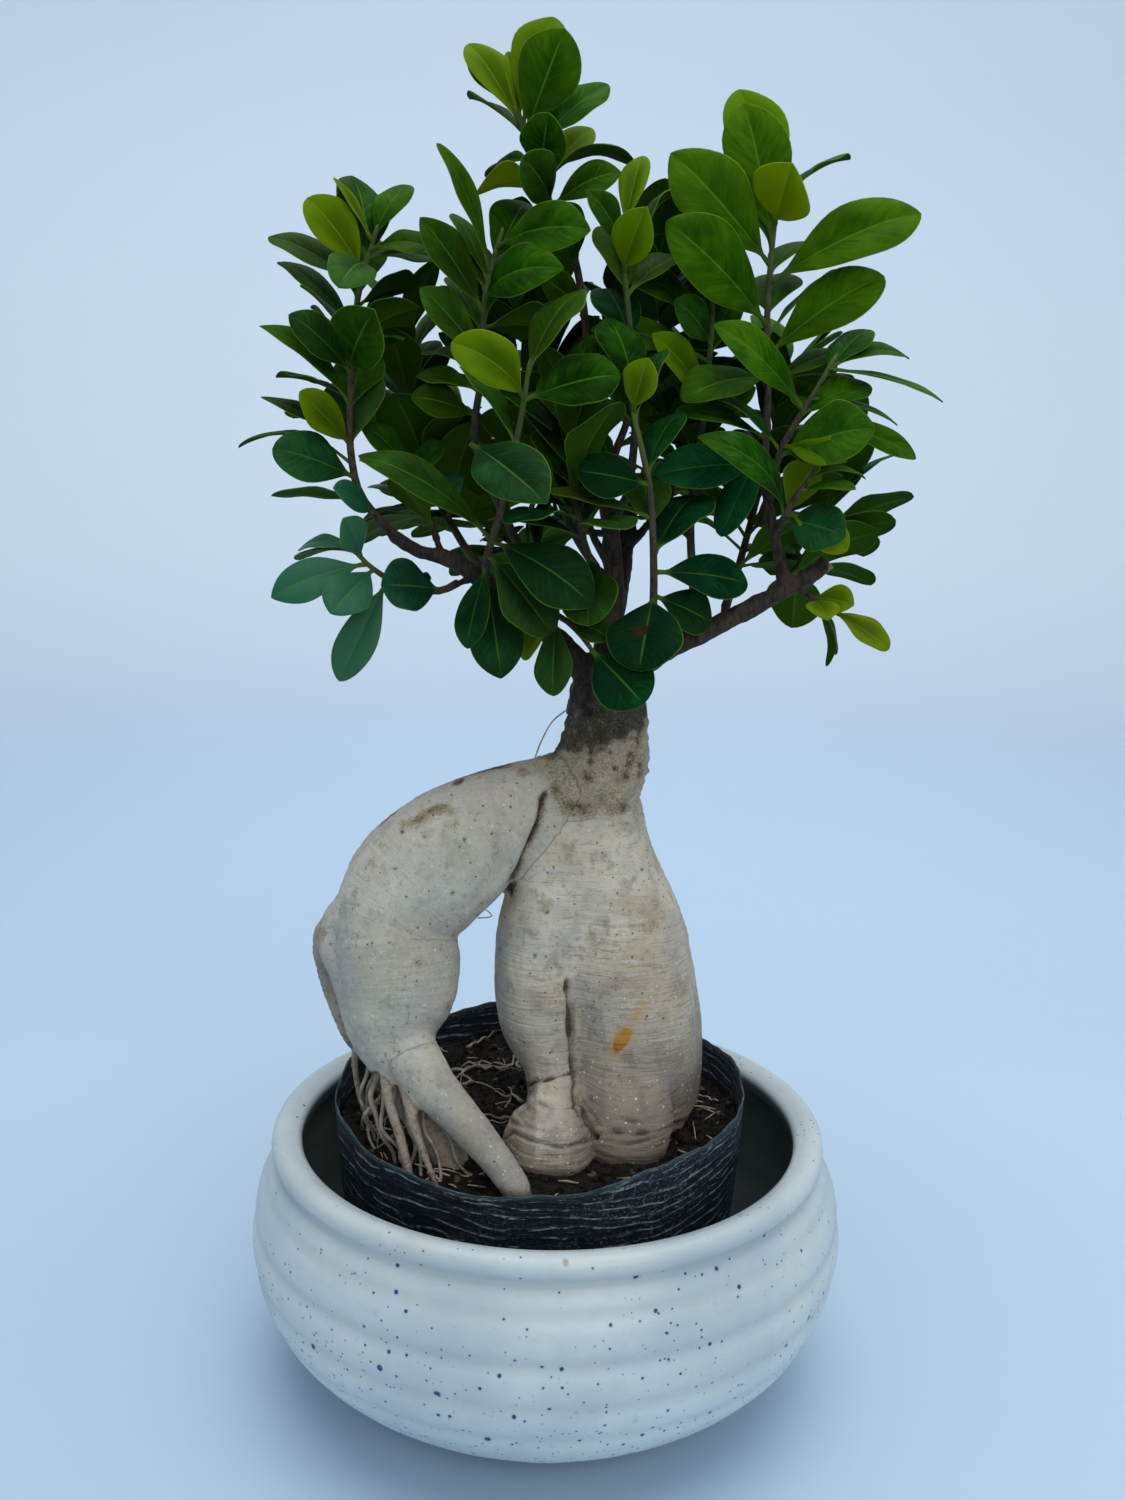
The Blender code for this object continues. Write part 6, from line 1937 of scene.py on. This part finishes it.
def placed_leaves(lines):
    """Each stem's leaves as root, tip, normal, width, bow and kind, in the solids' places."""
    room = Room()
    for part in root_parts(1.0):
        room.add("root", part)
    for part in wood_parts(lines, 0.6):
        room.add("wood", part)
    for name, line in lines.items():
        room.add(name, round_tube([(*s[:3], s[3] + 0.7) for s in line["stations"]], STEM_SIDES))
    leaves = {name: [] for name in lines}
    for name, stem in STEMS.items():
        points = stem_points(lines[name])
        for row in stem["leaves"]:
            width, _, bow, kind = row[5:]
            found = placed_leaf(room, name, seen_leaf_choices(points, row), width, bow, kind)
            if found:
                leaves[name].append((*found, width, bow, kind))
    draw = random.Random(SHOOT_SEED)
    for name, (_, count) in SHOOTS.items():
        for *shoot, ratio in shoot_leaves(stem_points(lines[name]), count, draw):
            width = shoot[-1] * ratio
            found = placed_leaf(room, name, shoot_choices(*shoot), width, PLAIN_BOW, "plain")
            if found:
                leaves[name].append((*found, width, PLAIN_BOW, "plain"))
    add_more_leaves(room, lines, leaves)
    return leaves


def first_free(room, choices, width, bow, kind, thick):
    """The first choice whose blade, without its stalk's end, touches nothing."""
    for root, tip, normal in choices:
        test = leaf_solid(root.lerp(tip, MORE_STALK), tip, width, normal, bow, kind, thick)
        if room.is_free("more", test):
            room.add("placed", test)
            return root, tip, normal
    return None


def add_more_leaves(room, lines, leaves):
    """Leaves that the solids leave out, clear of all others and behind the ones that are seen."""
    for name, row in MORE_ROWS:
        points = stem_points(lines[name])
        if name in SIDE_TWIGS:
            points = [seen_at(*spot) for spot in SIDE_TWIGS[name]]
        width, _, bow, kind = row[5:]
        found = first_free(room, seen_leaf_choices(points, row), width, bow, kind, 1.0)
        if found:
            leaves[name].append((*found, width, bow, kind))
    draw = random.Random(MORE_SEED)
    for name, count in MORE_LEAVES.items():
        for root, way, side, other, angle, open_out, length, ratio in shoot_leaves(
                stem_points(lines[name]), count, draw):
            length *= draw.uniform(0.80, 1.0)
            width = length * (ratio + 0.03)
            nearest = root.y + 6.0 if name in STEMS else -math.inf
            choices = shoot_choices(root, way, side, other, angle + MORE_TURN, open_out, length)
            behind = (choice for choice in choices if choice[1].y >= nearest)
            found = first_free(room, behind, width + 0.8, PLAIN_BOW, "plain", KEEP_CLEAR)
            if found:
                leaves[name].append((*found, width, PLAIN_BOW, "plain"))


def make_floor():
    """Plain pale floor that sweeps up far behind the object."""
    angles = round_angles(FLOOR_SIDES)
    rings = [ring(angles, reach, max(height, 0.0)) for reach, height in smooth_path(SWEEP, 0.12)]
    verts = np.concatenate([[(0.0, 0.0, 0.0)]] + rings)
    faces = cap_faces(0, 1, FLOOR_SIDES) + wall_faces(len(rings), FLOOR_SIDES, 1, flip=True)
    mesh = new_mesh("floor", verts, faces)
    mesh.materials.append(floor_paint())
    floor = linked("floor", mesh)
    floor.location.z = -FLOOR_GAP


def make_camera():
    """The camera at the photograph's viewpoint."""
    camera = bpy.data.cameras.new("camera")
    camera.sensor_fit = "AUTO"
    camera.sensor_width = CAMERA_SENSOR
    camera.lens = CAMERA_LENS
    camera.clip_start = CAMERA_NEAR
    pitch = math.radians(CAMERA_PITCH)
    roll = math.radians(CAMERA_ROLL)
    ahead = Vector((0.0, math.cos(pitch), -math.sin(pitch)))
    level = Vector((1.0, 0.0, 0.0))
    upright = level.cross(ahead)
    right = level * math.cos(roll) + upright * math.sin(roll)
    up = upright * math.cos(roll) - level * math.sin(roll)
    turned_to = Matrix((right, up, -ahead)).transposed().to_4x4()
    turned_to.translation = VIEW * MM
    item = linked("camera", camera)
    item.matrix_world = turned_to
    bpy.context.scene.camera = item


def make_stage():
    """Floor, soft studio light and camera."""
    make_floor()
    world = bpy.data.worlds.new("studio")
    world.use_nodes = True
    back = world.node_tree.nodes["Background"]
    back.inputs["Color"].default_value = WORLD_COLOUR
    back.inputs["Strength"].default_value = WORLD_LIGHT
    bpy.context.scene.world = world
    for name, place, toward, size, energy, colour in LIGHTS:
        lamp = bpy.data.lights.new(name, "AREA")
        lamp.shape = "DISK"
        lamp.size = size
        lamp.energy = energy
        lamp.color = colour
        item = linked(name, lamp)
        item.location = place
        item.rotation_euler = (Vector(toward) - Vector(place)).to_track_quat("-Z", "Y").to_euler()
    make_camera()


def main():
    """The stage, then the pieces from the bowl up to the leaves."""
    lines = stem_lines()
    leaves = placed_leaves(lines)
    make_stage()
    make_bowl_look(glaze_paint())
    make_bag_look(film_paint())
    soil = soil_paint()
    make_soil_look(soil)
    make_crumbs(soil)
    pale = thread_paint("rootlet_fibre", (0.16, 0.125, 0.09), (0.34, 0.295, 0.235))
    straw = thread_paint("dry_straw", (0.26, 0.19, 0.10), (0.52, 0.42, 0.27))
    make_threads(pale, straw)
    make_root_look(bark_paint())
    # Painted shade: scion and twig bark are given darker colours to stand for the shade inside the canopy.
    make_wood_look(lines, wood_paint("scion_bark", (0.012, 0.008, 0.005), (0.062, 0.040, 0.026), 1.0))
    twig = wood_paint("twig_bark", (0.024, 0.017, 0.009), (0.080, 0.060, 0.036), 1.6)
    make_foliage(lines, leaves, leaf_paint(), twig)
    scene = bpy.context.scene
    scene.view_settings.view_transform = "Standard"


main()
